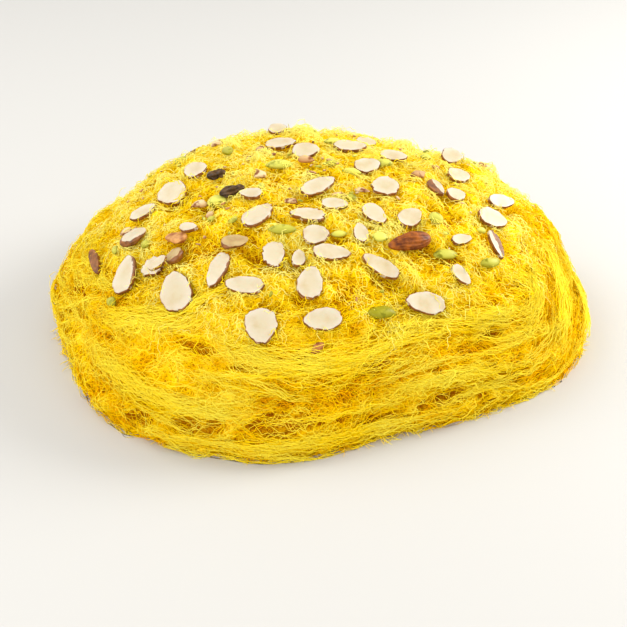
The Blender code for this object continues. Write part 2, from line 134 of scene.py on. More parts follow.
# %% Points on or near the mound
def blur(grid, times):
    """Grid with each value averaged with its neighbours, round the mound and up it."""
    for _ in range(times):
        grid = (np.roll(grid, 1, 0) + 2 * grid + np.roll(grid, -1, 0)) / 4
        edge = np.concatenate([grid[:, :1], grid, grid[:, -1:]], 1)
        grid = (edge[:, :-2] + 2 * edge[:, 1:-1] + edge[:, 2:]) / 4
    return grid


lumps = blur(solid_heights, 3)


def height_at(bearing, climb, grid):
    """Values of a grid at any places, blended between its four nearest cells."""
    across = (bearing / (2 * pi) % 1.0) * MAP_BEARINGS
    up = np.clip(climb / TOP_CLIMB, 0, 0.9999) * (MAP_CLIMBS - 1)
    left, low = np.floor(across).astype(int) % MAP_BEARINGS, np.floor(up).astype(int)
    right, s, t = (left + 1) % MAP_BEARINGS, across - np.floor(across), up - np.floor(up)
    return ((grid[left, low] * (1 - s) + grid[right, low] * s) * (1 - t)
            + (grid[left, low + 1] * (1 - s) + grid[right, low + 1] * s) * t)


def surface(bearing, climb, lift=0.0):
    """Points on the mound, or that much above it."""
    heights = height_at(bearing, climb, lumps) + lift
    return dome(bearing, climb) + dome_normal(bearing, climb) * heights[..., None]


def scales(bearing, climb):
    """Metres for each radian of bearing, and for each whole climb."""
    here = dome(bearing, climb)
    rise = np.linalg.norm(dome(bearing, climb + 0.01) - here, axis=-1) / 0.01
    return np.maximum(np.hypot(here[..., 0], here[..., 1]), 0.01), rise


def waves(points, size, seed):
    """Smooth noise from about -1 to 1: a few sine waves that run in random directions."""
    rng = np.random.default_rng(seed)
    directions = unit(rng.normal(size=(7, 3))) * rng.uniform(0.7, 1.4, (7, 1))
    phases = rng.uniform(0, 2 * pi, 7)
    return np.sin(points @ directions.T * (2 * pi / size) + phases).sum(-1) / 3


# %% [markdown]
# ## Where the toppings lie
# The almond slices, the whole almond, the chunks and the raisins are solids in the frame. Their
# corners give each one's middle, its long and short directions and its half sizes. Threads need
# those too, because a thread must dive under a slice and not run through it.

# %% Seats of the toppings
class Seat:
    """Middle, directions (long, short, face) and half sizes of one topping of the frame."""

    def __init__(self, node):
        corners = np.array([v.co for v in node.data.vertices])
        self.node = node.name
        self.middle = (corners.min(0) + corners.max(0)) / 2
        outward = unit(self.middle - BELOW)
        _, _, axes = np.linalg.svd(corners - corners.mean(0), full_matrices=False)
        face = axes[2] * np.sign(axes[2] @ outward)
        self.turn = np.stack([axes[0], np.cross(face, axes[0]), face])
        local = (corners - corners.mean(0)) @ self.turn.T
        self.middle = corners.mean(0) + (local.min(0) + local.max(0)) / 2 @ self.turn
        self.half = (local.max(0) - local.min(0)) / 2
        self.corners = (corners - self.middle) @ self.turn.T

    def place(self, points):
        """Points of the topping's own frame, in the world."""
        return self.middle + points @ self.turn


seats = {name: Seat(node) for name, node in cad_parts.items() if name != "feni_mound"}
slice_seats = [seats[name] for name in sorted(seats) if name.startswith("almond_slice")]
print("slices:", len(slice_seats), "first is",
      [round(2 * size / MM, 1) for size in slice_seats[0].half], "mm")

# %% Keep threads out of the toppings
UNDER_GAP, OVER_GAP = 0.5 * MM, 0.25 * MM
RIM_MARGIN = 0.9 * MM
NEAR_TOPPING = 8 * MM    # threads farther above or below a topping than this are left alone


def duck_under(paths, seat_list=None, over=0.0):
    """Threads that would run through a topping are pressed below it; a share goes over its rim."""
    above = np.random.default_rng(SEED + 5).random(len(paths)) < over
    for seat in seat_list or seats.values():
        local = (paths - seat.middle) @ seat.turn.T
        reach = seat.half[:2] + RIM_MARGIN
        inside = (local[..., 0] / reach[0]) ** 2 + (local[..., 1] / reach[1]) ** 2
        low, near = -seat.half[2] - UNDER_GAP, abs(local[..., 2]) < NEAR_TOPPING
        sink = np.where((inside < 1) & near, np.maximum(local[..., 2] - low, 0), 0)
        if over and seat in slice_seats:
            rising = above & (inside.min(1) > 0.35)
            top = 1.2 * seat.half[2] + OVER_GAP
            lifted = np.where((inside < 1.2) & near, -np.maximum(top - local[..., 2], 0), 0)
            sink[rising] = lifted[rising]
        paths -= sink[..., None] * seat.turn[2]
    return paths


# %% [markdown]
# ## A thread as a mesh
# A curve object with a bevel would make a tube too, but thousands of curves are slow and heavy.
# Instead one function takes the middle lines of many threads as an array and builds all their
# tubes at once: three corners at each station, quads between stations, a small triangle at each
# end. Three sides are enough, because smooth shading makes them look round at this size. Each
# thread also gets its own cell of the texture map, so that its colour can be baked.

# %% Tubes from arrays
MAP_COLUMNS = 16
GROUND_GAP = 0.05 * MM
CORNER_TURNS = np.array([0.0, 2 * pi / 3, 4 * pi / 3])
CORNER_SHARES = np.array([0.25, 0.75, 0.5])


def tubes(paths, radius, tint):
    """Corners, tints, sides and end caps of closed tubes along paths (threads, stations, 3)."""
    threads, stations = paths.shape[:2]
    along = unit(np.gradient(paths, axis=1))
    side = unit(np.cross(along, paths - BELOW))
    up = np.cross(side, along)
    ends = np.sin(pi * np.linspace(0.03, 0.97, stations)) ** 0.35
    radii = (np.reshape(radius, (-1, 1)) * ends)[..., None, None]
    turns = (side[:, :, None] * np.cos(CORNER_TURNS)[:, None]
             + up[:, :, None] * np.sin(CORNER_TURNS)[:, None])
    corners = paths[:, :, None] + turns * radii
    number = np.arange(threads * stations * 3).reshape(threads, stations, 3)
    following = np.roll(number, -1, 2)
    quads = np.stack([number[:, :-1], number[:, 1:], following[:, 1:], following[:, :-1]], -1)
    caps = np.concatenate([number[:, 0], number[:, -1, ::-1]])
    return corners.reshape(-1, 3), np.repeat(tint.reshape(-1), 3), quads.reshape(-1, 4), caps


def make_threads(name, batches):
    """One mesh piece from batches of (paths, radius, tint)."""
    corners, tints, quads, caps, cells, spans = [], [], [], [], [], []
    count, thread_count = 0, 0
    for paths, radius, tint in batches:
        batch = tubes(paths, radius, np.broadcast_to(tint, paths.shape[:2]))
        corners.append(batch[0])
        tints.append(batch[1])
        quads.append(batch[2] + count)
        caps.append(batch[3] + count)
        threads, stations = paths.shape[:2]
        cell = np.arange(threads)[:, None, None] + thread_count
        share = np.linspace(0, 1, stations)[:, None]
        cells.append(np.broadcast_to(cell, (threads, stations, 3)).reshape(-1))
        spans.append(np.broadcast_to(share, (threads, stations, 3)).reshape(-1))
        count, thread_count = count + len(batch[0]), thread_count + threads
    corners, tints = np.concatenate(corners), np.concatenate(tints)
    quads, caps = np.concatenate(quads), np.concatenate(caps)
    corners[:, 2] = np.maximum(corners[:, 2], GROUND_GAP)
    mesh = bpy.data.meshes.new(name)
    loops = np.concatenate([quads.reshape(-1), caps.reshape(-1)])
    sizes = np.concatenate([np.full(len(quads), 4), np.full(len(caps), 3)])
    mesh.vertices.add(len(corners))
    mesh.vertices.foreach_set("co", corners.astype(np.float32).reshape(-1))
    mesh.loops.add(len(loops))
    mesh.loops.foreach_set("vertex_index", loops.astype(np.int32))
    mesh.polygons.add(len(sizes))
    starts = np.concatenate([[0], np.cumsum(sizes)[:-1]])
    mesh.polygons.foreach_set("loop_start", starts.astype(np.int32))
    mesh.polygons.foreach_set("use_smooth", np.ones(len(sizes), bool))
    per_corner = mesh.attributes.new("tint", "FLOAT", "POINT").data
    per_corner.foreach_set("value", tints.astype(np.float32))
    rows = int(np.ceil(thread_count / MAP_COLUMNS))
    cells, spans = np.concatenate(cells), np.concatenate(spans)
    wide = (cells % MAP_COLUMNS + 0.04 + 0.92 * spans) / MAP_COLUMNS
    high = (cells // MAP_COLUMNS + np.tile(CORNER_SHARES, len(cells) // 3)) / rows
    mesh.uv_layers.new(name="OFBake").data.foreach_set(
        "uv", np.stack([wide, high], -1)[loops].astype(np.float32).reshape(-1))
    mesh.update(calc_edges=True)
    piece = bpy.data.objects.new(name, mesh)
    bpy.context.scene.collection.objects.link(piece)
    print(name, thread_count, "threads,", len(quads) * 2 + len(caps), "triangles")
    return piece


def new_piece(name, points, faces, attribute, values):
    """Smooth mesh piece from points and faces, with one value at each point."""
    mesh = bpy.data.meshes.new(name)
    mesh.from_pydata(points, [], faces)
    mesh.polygons.foreach_set("use_smooth", np.ones(len(faces), bool))
    per_point = mesh.attributes.new(attribute, "FLOAT", "POINT").data
    per_point.foreach_set("value", np.asarray(values).astype(np.float32).reshape(-1))
    piece = bpy.data.objects.new(name, mesh)
    bpy.context.scene.collection.objects.link(piece)
    return piece


def dress(piece, material):
    """Give a piece its material and its ride."""
    piece.data.materials.clear()
    piece.data.materials.append(material)
    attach(piece, "root")
    return piece


# %% [markdown]
# ## The colour of fried thread
# Each thread carries a tint, from 0 for the palest lemon to 1 for the deepest orange. The tint is
# partly each thread's own tone and partly painted light: outer and raised threads and crumb tops
# are painted paler as a painted highlight, and threads lying deeper, in hollows and gaps, are
# painted orange as painted shade. One node group turns tint into colour for every thread material.
# It also adds broad patches where the frying went further, since no pan is even.

# %% Node helpers
def new_group(name, inputs, outputs):
    """Shader node group with named sockets; inputs are (name, type, default)."""
    group = bpy.data.node_groups.new(name, "ShaderNodeTree")
    for socket, kind, default in inputs:
        made = group.interface.new_socket(name=socket, in_out="INPUT", socket_type=kind)
        made.default_value = default
    for socket, kind in outputs:
        group.interface.new_socket(name=socket, in_out="OUTPUT", socket_type=kind)
    return group, group.nodes.new("NodeGroupInput"), group.nodes.new("NodeGroupOutput")


def add_node(tree, kind, **settings):
    """Node with its settings; a setting named for an input sets that input."""
    node = tree.nodes.new(kind)
    for key, value in settings.items():
        if key in node.inputs:
            node.inputs[key].default_value = value
        else:
            setattr(node, key, value)
    return node


def feed(tree, node, values):
    """Give inputs of a node, by number, their values: each is a socket or a constant."""
    for number, value in values.items():
        if isinstance(value, bpy.types.NodeSocket):
            tree.links.new(value, node.inputs[number])
        else:
            node.inputs[number].default_value = value


def calculate(tree, operation, *values):
    """Math node on sockets or numbers."""
    node = add_node(tree, "ShaderNodeMath", operation=operation)
    feed(tree, node, dict(enumerate(values)))
    return node.outputs[0]


def mix_colours(tree, share, first, second):
    """Mix node for colours; each of its three values is a socket or a constant."""
    node = add_node(tree, "ShaderNodeMix", data_type="RGBA")
    feed(tree, node, {0: share, 6: first, 7: second})
    return node.outputs[2]


def noise_value(tree, scale, detail):
    """Noise over the piece's own coordinates."""
    place = add_node(tree, "ShaderNodeTexCoord").outputs["Object"]
    node = add_node(tree, "ShaderNodeTexNoise", Scale=scale, Detail=detail)
    tree.links.new(place, node.inputs["Vector"])
    return node.outputs["Fac"]


def remap(tree, value, low, high, to_low=0.0, to_high=1.0):
    """Map Range node, clamped."""
    node = add_node(tree, "ShaderNodeMapRange")
    for socket, number in (("From Min", low), ("From Max", high),
                           ("To Min", to_low), ("To Max", to_high)):
        node.inputs[socket].default_value = number
    tree.links.new(value, node.inputs["Value"])
    return node.outputs["Result"]


def new_material(name, roughness, **shader_values):
    """Material with a Principled BSDF, and that shader."""
    material = bpy.data.materials.new(name)
    material.use_nodes = True
    shader = material.node_tree.nodes["Principled BSDF"]
    shader.inputs["Roughness"].default_value = roughness
    for key, value in shader_values.items():
        shader.inputs[key.replace("_", " ")].default_value = value
    return material, shader


# %% Frying tone and painted shade, shared by every thread
def make_frying_tone_and_shade():
    """Group: tint in, thread colour out; the tint carries painted highlight and painted shade."""
    group, given, result = new_group(
        "frying tone and shade",
        [("Tint", "NodeSocketFloat", 0.5), ("Pale", "NodeSocketColor", (1, 1, 1, 1)),
         ("Golden", "NodeSocketColor", (1, 1, 0, 1)), ("Deep", "NodeSocketColor", (1, 0.5, 0, 1)),
         ("Patches", "NodeSocketFloat", 0.3)],
        [("Color", "NodeSocketColor")])
    patch = remap(group, noise_value(group, 28.0, 2.0), 0.40, 0.68)
    pushed = calculate(group, "MULTIPLY_ADD", patch, given.outputs["Patches"],
                       given.outputs["Tint"])
    lower, upper = remap(group, pushed, 0.0, 0.5), remap(group, pushed, 0.5, 1.2)
    first = mix_colours(group, lower, given.outputs["Pale"], given.outputs["Golden"])
    second = mix_colours(group, upper, first, given.outputs["Deep"])
    group.links.new(second, result.inputs["Color"])
    return group


frying_tone_and_shade = make_frying_tone_and_shade()


def make_thread_material(name, pale, golden, deep, patches, roughness):
    """Material for threads, coloured by their tint."""
    material, shader = new_material(name, roughness, Specular_IOR_Level=0.0)
    tree = material.node_tree
    tone = add_node(tree, "ShaderNodeGroup", node_tree=frying_tone_and_shade)
    # The tint holds painted highlight and painted shade as well as each thread's own tone.
    tint = add_node(tree, "ShaderNodeAttribute", attribute_name="tint")
    tree.links.new(tint.outputs["Fac"], tone.inputs["Tint"])
    for socket, colour in (("Pale", pale), ("Golden", golden), ("Deep", deep)):
        tone.inputs[socket].default_value = (*colour, 1)
    tone.inputs["Patches"].default_value = patches
    tree.links.new(tone.outputs["Color"], shader.inputs["Base Color"])
    return material


# Pale serves outer, raised threads as a painted highlight and Deep serves deep, sunken ones as
# painted shade; Golden is the threads' own colour, and the three also span their tone.
PALE, GOLDEN, DEEP = (1.0, 0.85, 0.070), (1.0, 0.71, 0.002), (1.0, 0.50, 0.001)
combed_finish = make_thread_material("combed threads", PALE, GOLDEN, DEEP, 0.32, 0.42)
# The crown's matted threads get a paler copy of these colours: a painted highlight on the top of
# the mound.
fuzz_finish = make_thread_material("matted threads", (1.0, 0.92, 0.23), (1.0, 0.79, 0.008), DEEP,
                                   0.30, 0.50)

# %% [markdown]
# ## The comb, the web and the crumbs
# Three slow patterns steer every thread. The comb is the direction in which the mound was wound:
# nearly level, but it follows the big locks where they swing. The web is a net of ridges that lie
# along the comb; threads gather on its ridges and leave lens-shaped hollows between them, which are
# painted darker as painted shade. On the crown, where the threads are broken short, the web gives
# way to round crumbs.

# %% Big locks, as in the solid
NAMED_LOCKS = [          # width in millimetres, tint, then (bearing, climb) along the lock
    (10, 0.00, [(213, 0.21), (225, 0.20), (236, 0.19), (250, 0.18), (264, 0.18)]),
    (9, 0.02, [(211, 0.27), (220, 0.31), (229, 0.35), (238, 0.40), (245, 0.50)]),
    (12, 0.05, [(246, 0.40), (252, 0.36), (261, 0.33), (275, 0.30), (288, 0.32), (303, 0.36)]),
    (8, 0.05, [(323, 0.45), (329, 0.40), (328, 0.32), (318, 0.26)]),
    (9, 0.10, [(352, 0.39), (341, 0.31), (333, 0.20), (328, 0.13)]),
    (8, 0.10, [(356, 0.27), (347, 0.17), (338, 0.08)]),
    (5, 0.20, [(232, 0.05), (250, 0.06), (270, 0.07), (290, 0.07), (308, 0.05)]),
    (6, 0.15, [(282, 0.18), (297, 0.18), (310, 0.17), (328, 0.13)]),
    (7, 0.10, [(304, 0.38), (316, 0.34), (326, 0.31)]),
]


def smooth_line(controls, stations):
    """Even stations along a soft curve through control points."""
    controls = np.array(controls, float)
    fine = np.linspace(0, len(controls) - 1, stations)
    padded = np.concatenate([2 * controls[:1] - controls[1:2], controls,
                             2 * controls[-1:] - controls[-2:-1]])
    index = np.minimum(fine.astype(int), len(controls) - 2)
    t = (fine - index)[:, None]
    first, start, stop, last = (padded[index + step] for step in range(4))
    return 0.5 * (2 * start + (stop - first) * t
                  + (2 * first - 5 * start + 4 * stop - last) * t ** 2
                  + (3 * start - first - 3 * stop + last) * t ** 3)


# %% Comb direction
LOCK_REACH = 8 * MM


def comb_pattern():
    """Comb direction over the map, as the cosine and sine of twice its angle above level."""
    bearings, climbs = np.meshgrid(np.arange(MAP_BEARINGS) * 2 * pi / MAP_BEARINGS,
                                   np.linspace(0, TOP_CLIMB, MAP_CLIMBS), indexing="ij")
    points = dome(bearings, climbs)
    angle = 0.26 * waves(points, 0.095, 31) + 0.16 * waves(points, 0.035, 32)
    level, steep = np.cos(2 * angle), np.sin(2 * angle)
    for _, _, controls in NAMED_LOCKS:
        line = smooth_line(controls, 20)
        bearing, climb = np.radians(line[:, 0]), line[:, 1]
        ring, rise = scales(bearing, climb)
        angle = np.arctan2(np.gradient(climb) * rise, np.gradient(bearing) * ring)
        for place, turn in zip(dome(bearing, climb), angle):
            near = 1.5 * np.exp(-((points - place) ** 2).sum(-1) / (2 * LOCK_REACH ** 2))
            level, steep = level + near * np.cos(2 * turn), steep + near * np.sin(2 * turn)
    return level, steep


comb_level, comb_steep = comb_pattern()


def comb_angle(bearing, climb):
    """Angle of the comb above level."""
    return np.arctan2(height_at(bearing, climb, comb_steep),
                      height_at(bearing, climb, comb_level)) / 2


# %% Web and crumbs
WEB_CELL = 13 * MM
CRUMB_CELL = 7.5 * MM
FUZZ_FOOT, FUZZ_BLEND = 0.37, 0.09
HALF_STEP = 0.5 * MM     # distance either side over which the slope of the web is taken


def web(points):
    """Height of the web, about -1 in its hollows to 1 on its ridges."""
    fine = waves(points * [1, 1, 2.1], WEB_CELL, 41)
    return 0.7 * fine + 0.5 * waves(points * [1, 1, 2.6], 2.3 * WEB_CELL, 42)


def crumbs(points):
    """Height of the crumbs: round tops of two sizes, with narrow gaps between them."""
    small = abs(waves(points, 1.6 * CRUMB_CELL, 43))
    large = abs(waves(points, 2.9 * CRUMB_CELL, 47))
    return 0.85 * small + 0.75 * large - 0.72 + 0.45 * waves(points, 24 * MM, 44)


def crown_share(climb):
    """0 on the combed sides, 1 on the crown."""
    return np.clip((climb - FUZZ_FOOT) / FUZZ_BLEND, 0, 1)


def gather(bearing, climb, pull):
    """Climbs after threads have slid towards the ridges of the web."""
    rise = scales(bearing, climb)[1]
    step = HALF_STEP / rise
    slope = web(dome(bearing, climb + step)) - web(dome(bearing, climb - step))
    return climb + pull * MM * slope * (1 - crown_share(climb)) / rise


# %% [markdown]
# ## Open places and pits
# Low on the sides the wool is thin in places, and dark gaps show between its threads. Nothing is
# cut there. In an open place the core lies deeper, the deep threads keep away and the core is
# painted dark brown as painted shade, so only a fine web hangs over the dark. Small pits do the
# same to the outer threads, which bow round them as hair parts round a pin. The large open places
# are listed, and a seeded rule scatters the rest.

# %% Open places and pits
OPEN_PLACES = [          # bearing, climb, half length and half height in millimetres
    (247, 0.11, 14, 7), (264, 0.13, 19, 6.5), (283, 0.27, 12, 3), (244, 0.36, 12, 3),
    (256, 0.32, 8, 2.2), (236, 0.07, 11, 4.5), (219, 0.06, 10, 2.5), (301, 0.10, 14, 4),
    (318, 0.12, 9, 2.5), (284, 0.08, 11, 3.5), (268, 0.33, 6, 1.6), (313, 0.28, 8, 1.8),
    (228, 0.16, 9, 2), (205, 0.13, 10, 2.5),
]
FAR_OPEN_PLACES, SMALL_PITS, PITS_IN_PLACE = 14, 330, 7
FAR_SIDE = (-35, 200)    # bearings between which the rule scatters open places


def scatter_places():
    """Open places, then small pits, each as (bearing, climb, half length, half height)."""
    rng = random.Random(SEED)
    opens = [(np.radians(b), c, long * MM, high * MM) for b, c, long, high in OPEN_PLACES]
    for _ in range(FAR_OPEN_PLACES):
        opens.append((np.radians(rng.uniform(*FAR_SIDE)), rng.uniform(0.05, 0.26),
                      rng.uniform(7, 15) * MM, rng.uniform(2, 5) * MM))
    pits = []
    for _ in range(SMALL_PITS):
        pits.append((rng.uniform(0, 2 * pi), 0.02 + 0.38 * rng.random() ** 1.7,
                     rng.uniform(1.8, 4.5) * MM, rng.uniform(0.6, 1.3) * MM))
    for bearing, climb, half_long, half_high in opens:
        for _ in range(PITS_IN_PLACE):
            turn, share = rng.uniform(0, 2 * pi), rng.random() ** 0.5
            pits.append((bearing + cos(turn) * share * half_long / MOUND_RADIUS,
                         climb + sin(turn) * share * half_high / (MOUND_HEIGHT * pi / 2),
                         rng.uniform(1.6, 3.6) * MM, rng.uniform(0.6, 1.2) * MM))
    return opens, pits


open_places, pits = scatter_places()
print(len(open_places), "open places and", len(pits), "pits")


def bow_round(places, bearing, climb):
    """Climbs of threads (threads, stations) after they have parted round some places."""
    ring, rise = scales(bearing, climb)
    for pit_bearing, pit_climb, half_long, half_high in places:
        turn = (bearing - pit_bearing + pi) % (2 * pi) - pi
        beside = abs(turn) * ring < 1.5 * half_long
        level = abs(climb - pit_climb) * rise < 4 * half_high
        rows = np.nonzero((beside & level).any(1))[0]
        if not len(rows):
            continue
        across = turn[rows] * ring[rows] / half_long
        up = (climb[rows] - pit_climb) * rise[rows]
        weight = np.exp(-across ** 2)
        side = np.sign((weight * up).sum(1) / weight.sum(1) + 1e-9)[:, None]
        lens = half_high * np.sqrt(np.clip(1 - across ** 2, 0, 1))
        bowed = (side * up + np.sqrt(up ** 2 + 4 * lens ** 2)) / 2
        shift = (bowed - side * up) * np.clip(1 - across ** 4, 0, 1)
        climb[rows] += side * shift / rise[rows]
    return climb


# %% [markdown]
# ## The core
# Under the threads lies a closed core, a little smaller than the solid, so that no light comes
# through the heap. It follows the web, the crumbs and the pits. Its colour and bump are a net of
# fine golden lines over deep orange, like the threads too deep to be worth laying one by one. In
# the web's hollows, between the crumbs and in the pits it is painted dark brown: painted shade.

# %% Core mesh
CORE_AROUND, CORE_UP = 300, 84
CORE_DEPTH, DEEPEST_PIT = 2.3 * MM, 7 * MM
CORE_FOOT = 0.1 * MM


def make_core():
    """Closed dome of quads with a flat foot, sunk where the pits are."""
    bearing, climb = np.meshgrid(np.arange(CORE_AROUND) * 2 * pi / CORE_AROUND,
                                 np.linspace(0, TOP_CLIMB, CORE_UP), indexing="ij")
    points, crown = dome(bearing, climb), crown_share(climb)
    ridge, crumb = web(points), crumbs(points)
    lift = -CORE_DEPTH + MM * (1.1 * ridge * (1 - crown) + (2.4 * crumb + 0.2) * crown)
    # Painted shade: the core is painted darker in the web's hollows and between the crumbs.
    hollow_shade = (0.12 - 0.40 * ridge) * (1 - crown) + (0.22 - 0.7 * crumb) * crown
    ring, rise = scales(bearing, climb)
    for place_bearing, place_climb, half_long, half_high in open_places + pits:
        turn = ((bearing - place_bearing + pi) % (2 * pi) - pi) * ring / half_long
        reach = turn ** 2 + ((climb - place_climb) * rise / half_high) ** 2
        lift -= min(2.5 * MM, 1.6 * half_high) * np.clip(1 - reach / 2, 0, 1)
        # Pits and open places are painted dark brown on the core too: painted shade.
        hollow_shade += 0.9 * np.clip(1.2 - reach, 0, 1)
    points = duck_under(surface(bearing, climb, np.maximum(lift, -DEEPEST_PIT)), slice_seats)
    points[:, 0, 2] = CORE_FOOT
    points[..., 2] = np.maximum(points[..., 2], CORE_FOOT)
    number = np.arange(CORE_AROUND * CORE_UP).reshape(CORE_AROUND, CORE_UP)
    following = np.roll(number, -1, 0)
    quads = np.stack([number[:, :-1], following[:, :-1], following[:, 1:], number[:, 1:]], -1)
    faces = [*quads.reshape(-1, 4).tolist(), number[::-1, 0].tolist(), number[:, -1].tolist()]
    print("core", len(faces), "faces")
    return new_piece("thread_core", points.reshape(-1, 3).tolist(), faces, "hollow_shade",
                     np.clip(hollow_shade, 0, 1))


# %% Core finish
def net_lines(tree, place, scale, low, high):
    """Mask of a net of fine lines: the borders of scattered cells, drawn out along the level."""
    stretch = add_node(tree, "ShaderNodeMapping")
    stretch.inputs["Scale"].default_value = (1, 1, 1.8)
    bend = add_node(tree, "ShaderNodeTexNoise", Scale=260.0, Detail=1.0)
    tree.links.new(place, bend.inputs["Vector"])
    bent = add_node(tree, "ShaderNodeMix", data_type="VECTOR")
    bent.inputs[0].default_value = 0.0035
    tree.links.new(place, bent.inputs[4])
    tree.links.new(bend.outputs["Color"], bent.inputs[5])
    tree.links.new(bent.outputs[1], stretch.inputs["Vector"])
    cells = add_node(tree, "ShaderNodeTexVoronoi", feature="DISTANCE_TO_EDGE", Scale=scale)
    tree.links.new(stretch.outputs["Vector"], cells.inputs["Vector"])
    return remap(tree, cells.outputs["Distance"], low, high, 1.0, 0.0)


def make_core_material():
    """A golden net of two sizes over deep orange, painted dark brown in hollows and pits as shade.
    """
    material, shader = new_material("thread core", 0.6, Specular_IOR_Level=0.0)
    tree = material.node_tree
    place = add_node(tree, "ShaderNodeTexCoord").outputs["Object"]
    net = calculate(tree, "MAXIMUM", net_lines(tree, place, 300.0, 0.04, 0.19),
                    net_lines(tree, place, 620.0, 0.05, 0.24))
    tone = add_node(tree, "ShaderNodeGroup", node_tree=frying_tone_and_shade)
    # The hollow shade attribute carries painted shade: it pushes the core towards dark brown.
    hollow_shade = add_node(tree, "ShaderNodeAttribute", attribute_name="hollow_shade")
    tint = calculate(tree, "MULTIPLY_ADD", hollow_shade.outputs["Fac"], 0.75,
                     remap(tree, net, 0.0, 1.0, 0.75, 0.25))
    tree.links.new(tint, tone.inputs["Tint"])
    # Deep is the dark brown of the painted shade in hollows and pits.
    for socket, colour in (("Pale", PALE), ("Golden", (1.0, 0.64, 0.003)),
                           ("Deep", (0.40, 0.125, 0.001))):
        tone.inputs[socket].default_value = (*colour, 1)
    tree.links.new(tone.outputs["Color"], shader.inputs["Base Color"])
    bump = add_node(tree, "ShaderNodeBump", Strength=0.8, Distance=0.6 * MM)
    tree.links.new(net, bump.inputs["Height"])
    tree.links.new(bump.outputs["Normal"], shader.inputs["Normal"])
    return material


dress(make_core(), make_core_material())

# %% [markdown]
# ## Locks
# A lock is a hank of threads that still lie side by side. It starts as one guide line. Its
# threads keep their place across the lock but sway, slip over each other and fray at both ends,
# so it melts into the wool round it.

# %% Threads of one lock
GUIDE_STATIONS = 40
SLIP_WAVE, HEAVE_WAVE = 0.055, 0.012    # metres over which threads slip across, rise and sink
LONG_SWAY, SHORT_SWAY = 0.019, 0.008


def lock_threads(bearing, climb, width, depth, lift, count, stations, tint, rng):
    """Threads along one guide line, gathered into a flat, loose lock."""
    share = np.linspace(0, 1, len(bearing))
    middle = surface(bearing, climb, np.full(len(bearing), lift))
    normal = dome_normal(bearing, climb)
    side = unit(np.cross(normal, unit(np.gradient(middle, axis=0))))
    start, stop = rng.uniform(0, 0.35, count), rng.uniform(0.65, 1.0, count)
    at = start[:, None] + (stop - start)[:, None] * np.linspace(0, 1, stations)

    def along_guide(values):
        return np.stack([np.interp(at, share, values[:, axis]) for axis in range(3)], -1)

    long = np.linalg.norm(np.diff(middle, axis=0), axis=1).sum()
    across = np.clip(rng.normal(0, 0.6, count), -1.6, 1.6)
    above = rng.uniform(-1, 1, count) * np.sqrt(np.clip(1.2 - across ** 2, 0.05, 1))
    turns, phase = rng.uniform(0.5, 1.5, count)[:, None], rng.uniform(0, 2 * pi, (3, count, 1))
    slip = 0.35 * np.sin(2 * pi * turns * at * long / SLIP_WAVE + phase[0])
    sway = 0.8 * MM * np.sin(2 * pi * at * long / (LONG_SWAY * turns) + phase[1])
    sway += 0.45 * MM * np.sin(2 * pi * at * long / (SHORT_SWAY * turns) + phase[2])
    spread = 0.75 + 0.5 * np.abs(2 * at - 1) ** 3
    sideways = (across[:, None] + slip) * spread * width / 2 + sway
    outward = (above[:, None] * depth / 2
               + 0.3 * MM * np.cos(2 * pi * at * long / HEAVE_WAVE + phase[2]))
    outward += depth * 0.7 * (np.sin(pi * at) - 0.7)
    paths = along_guide(middle) + along_guide(side) * sideways[..., None]
    paths += along_guide(normal) * outward[..., None]
    # Threads on top of the lock are painted paler and those beneath deeper: painted highlight and
    # painted shade, with a random tone for each thread.
    shade = tint - 0.2 * above[:, None] + rng.normal(0, 0.12, count)[:, None]
    return paths, np.clip(shade + np.zeros_like(at), 0, 1.2)


# %% Big locks
def big_lock_batches(rng):
    """Batches of threads for the big locks."""
    batches = []
    for width, tint, controls in NAMED_LOCKS:
        line = smooth_line(controls, GUIDE_STATIONS)
        bearing, climb = np.radians(line[:, 0]), line[:, 1]
        paths, shade = lock_threads(bearing, climb, 1.3 * width * MM, 0.8 * MM, 0.1 * MM,
                                    int(6.5 * width), 23, tint + 0.02, rng)
        batches.append((duck_under(paths), 0.135 * MM, shade))
    return batches


thread_rng = np.random.default_rng(SEED)
dress(make_threads("big_locks", big_lock_batches(thread_rng)), combed_finish)

# %% Fine locks all round
FINE_LOCKS = 95
LOWEST, HIGHEST = 0.006, 0.62           # climbs between which lines may run


def follow_comb(bearing, climb, tilt, length, stations):
    """Bearings and climbs (lines, stations) of lines that follow the comb, turned by a tilt."""
    step = np.broadcast_to(length / (stations - 1), bearing.shape)
    places = [(bearing, climb)]
    for station in range(1, stations):
        ring, rise = scales(bearing, climb)
        angle = comb_angle(bearing, climb) + tilt[station]
        bearing = bearing + step * np.cos(angle) / ring
        climb = np.clip(climb + step * np.sin(angle) / rise, LOWEST, HIGHEST)
        places.append((bearing, climb))
    return np.stack([place[0] for place in places], 1), np.stack([place[1] for place in places], 1)


def fine_lock_batches(rng):
    """Batches of threads for small locks scattered over the sides."""
    length = rng.uniform(35, 95, FINE_LOCKS) * MM
    tilt = np.tile(rng.normal(0, 0.16, FINE_LOCKS), (GUIDE_STATIONS, 1))
    bearing, climb = follow_comb(rng.uniform(0, 2 * pi, FINE_LOCKS),
                                 rng.uniform(0.02, 0.42, FINE_LOCKS), tilt, length, GUIDE_STATIONS)
    climb = bow_round(pits, bearing, gather(bearing, climb, 0.8))
    batches = []
    for number in range(FINE_LOCKS):
        width, stations = rng.uniform(2.0, 5.0), max(8, int(length[number] / (4.2 * MM)))
        paths, shade = lock_threads(bearing[number], climb[number], width * MM, 1.2 * MM,
                                    rng.uniform(0.1, 0.8) * MM, int(3.6 * width), stations,
                                    0.16 + rng.normal(0, 0.1), rng)
        batches.append((duck_under(paths), 0.145 * MM, shade))
    return batches


dress(make_threads("fine_locks", fine_lock_batches(thread_rng)), combed_finish)

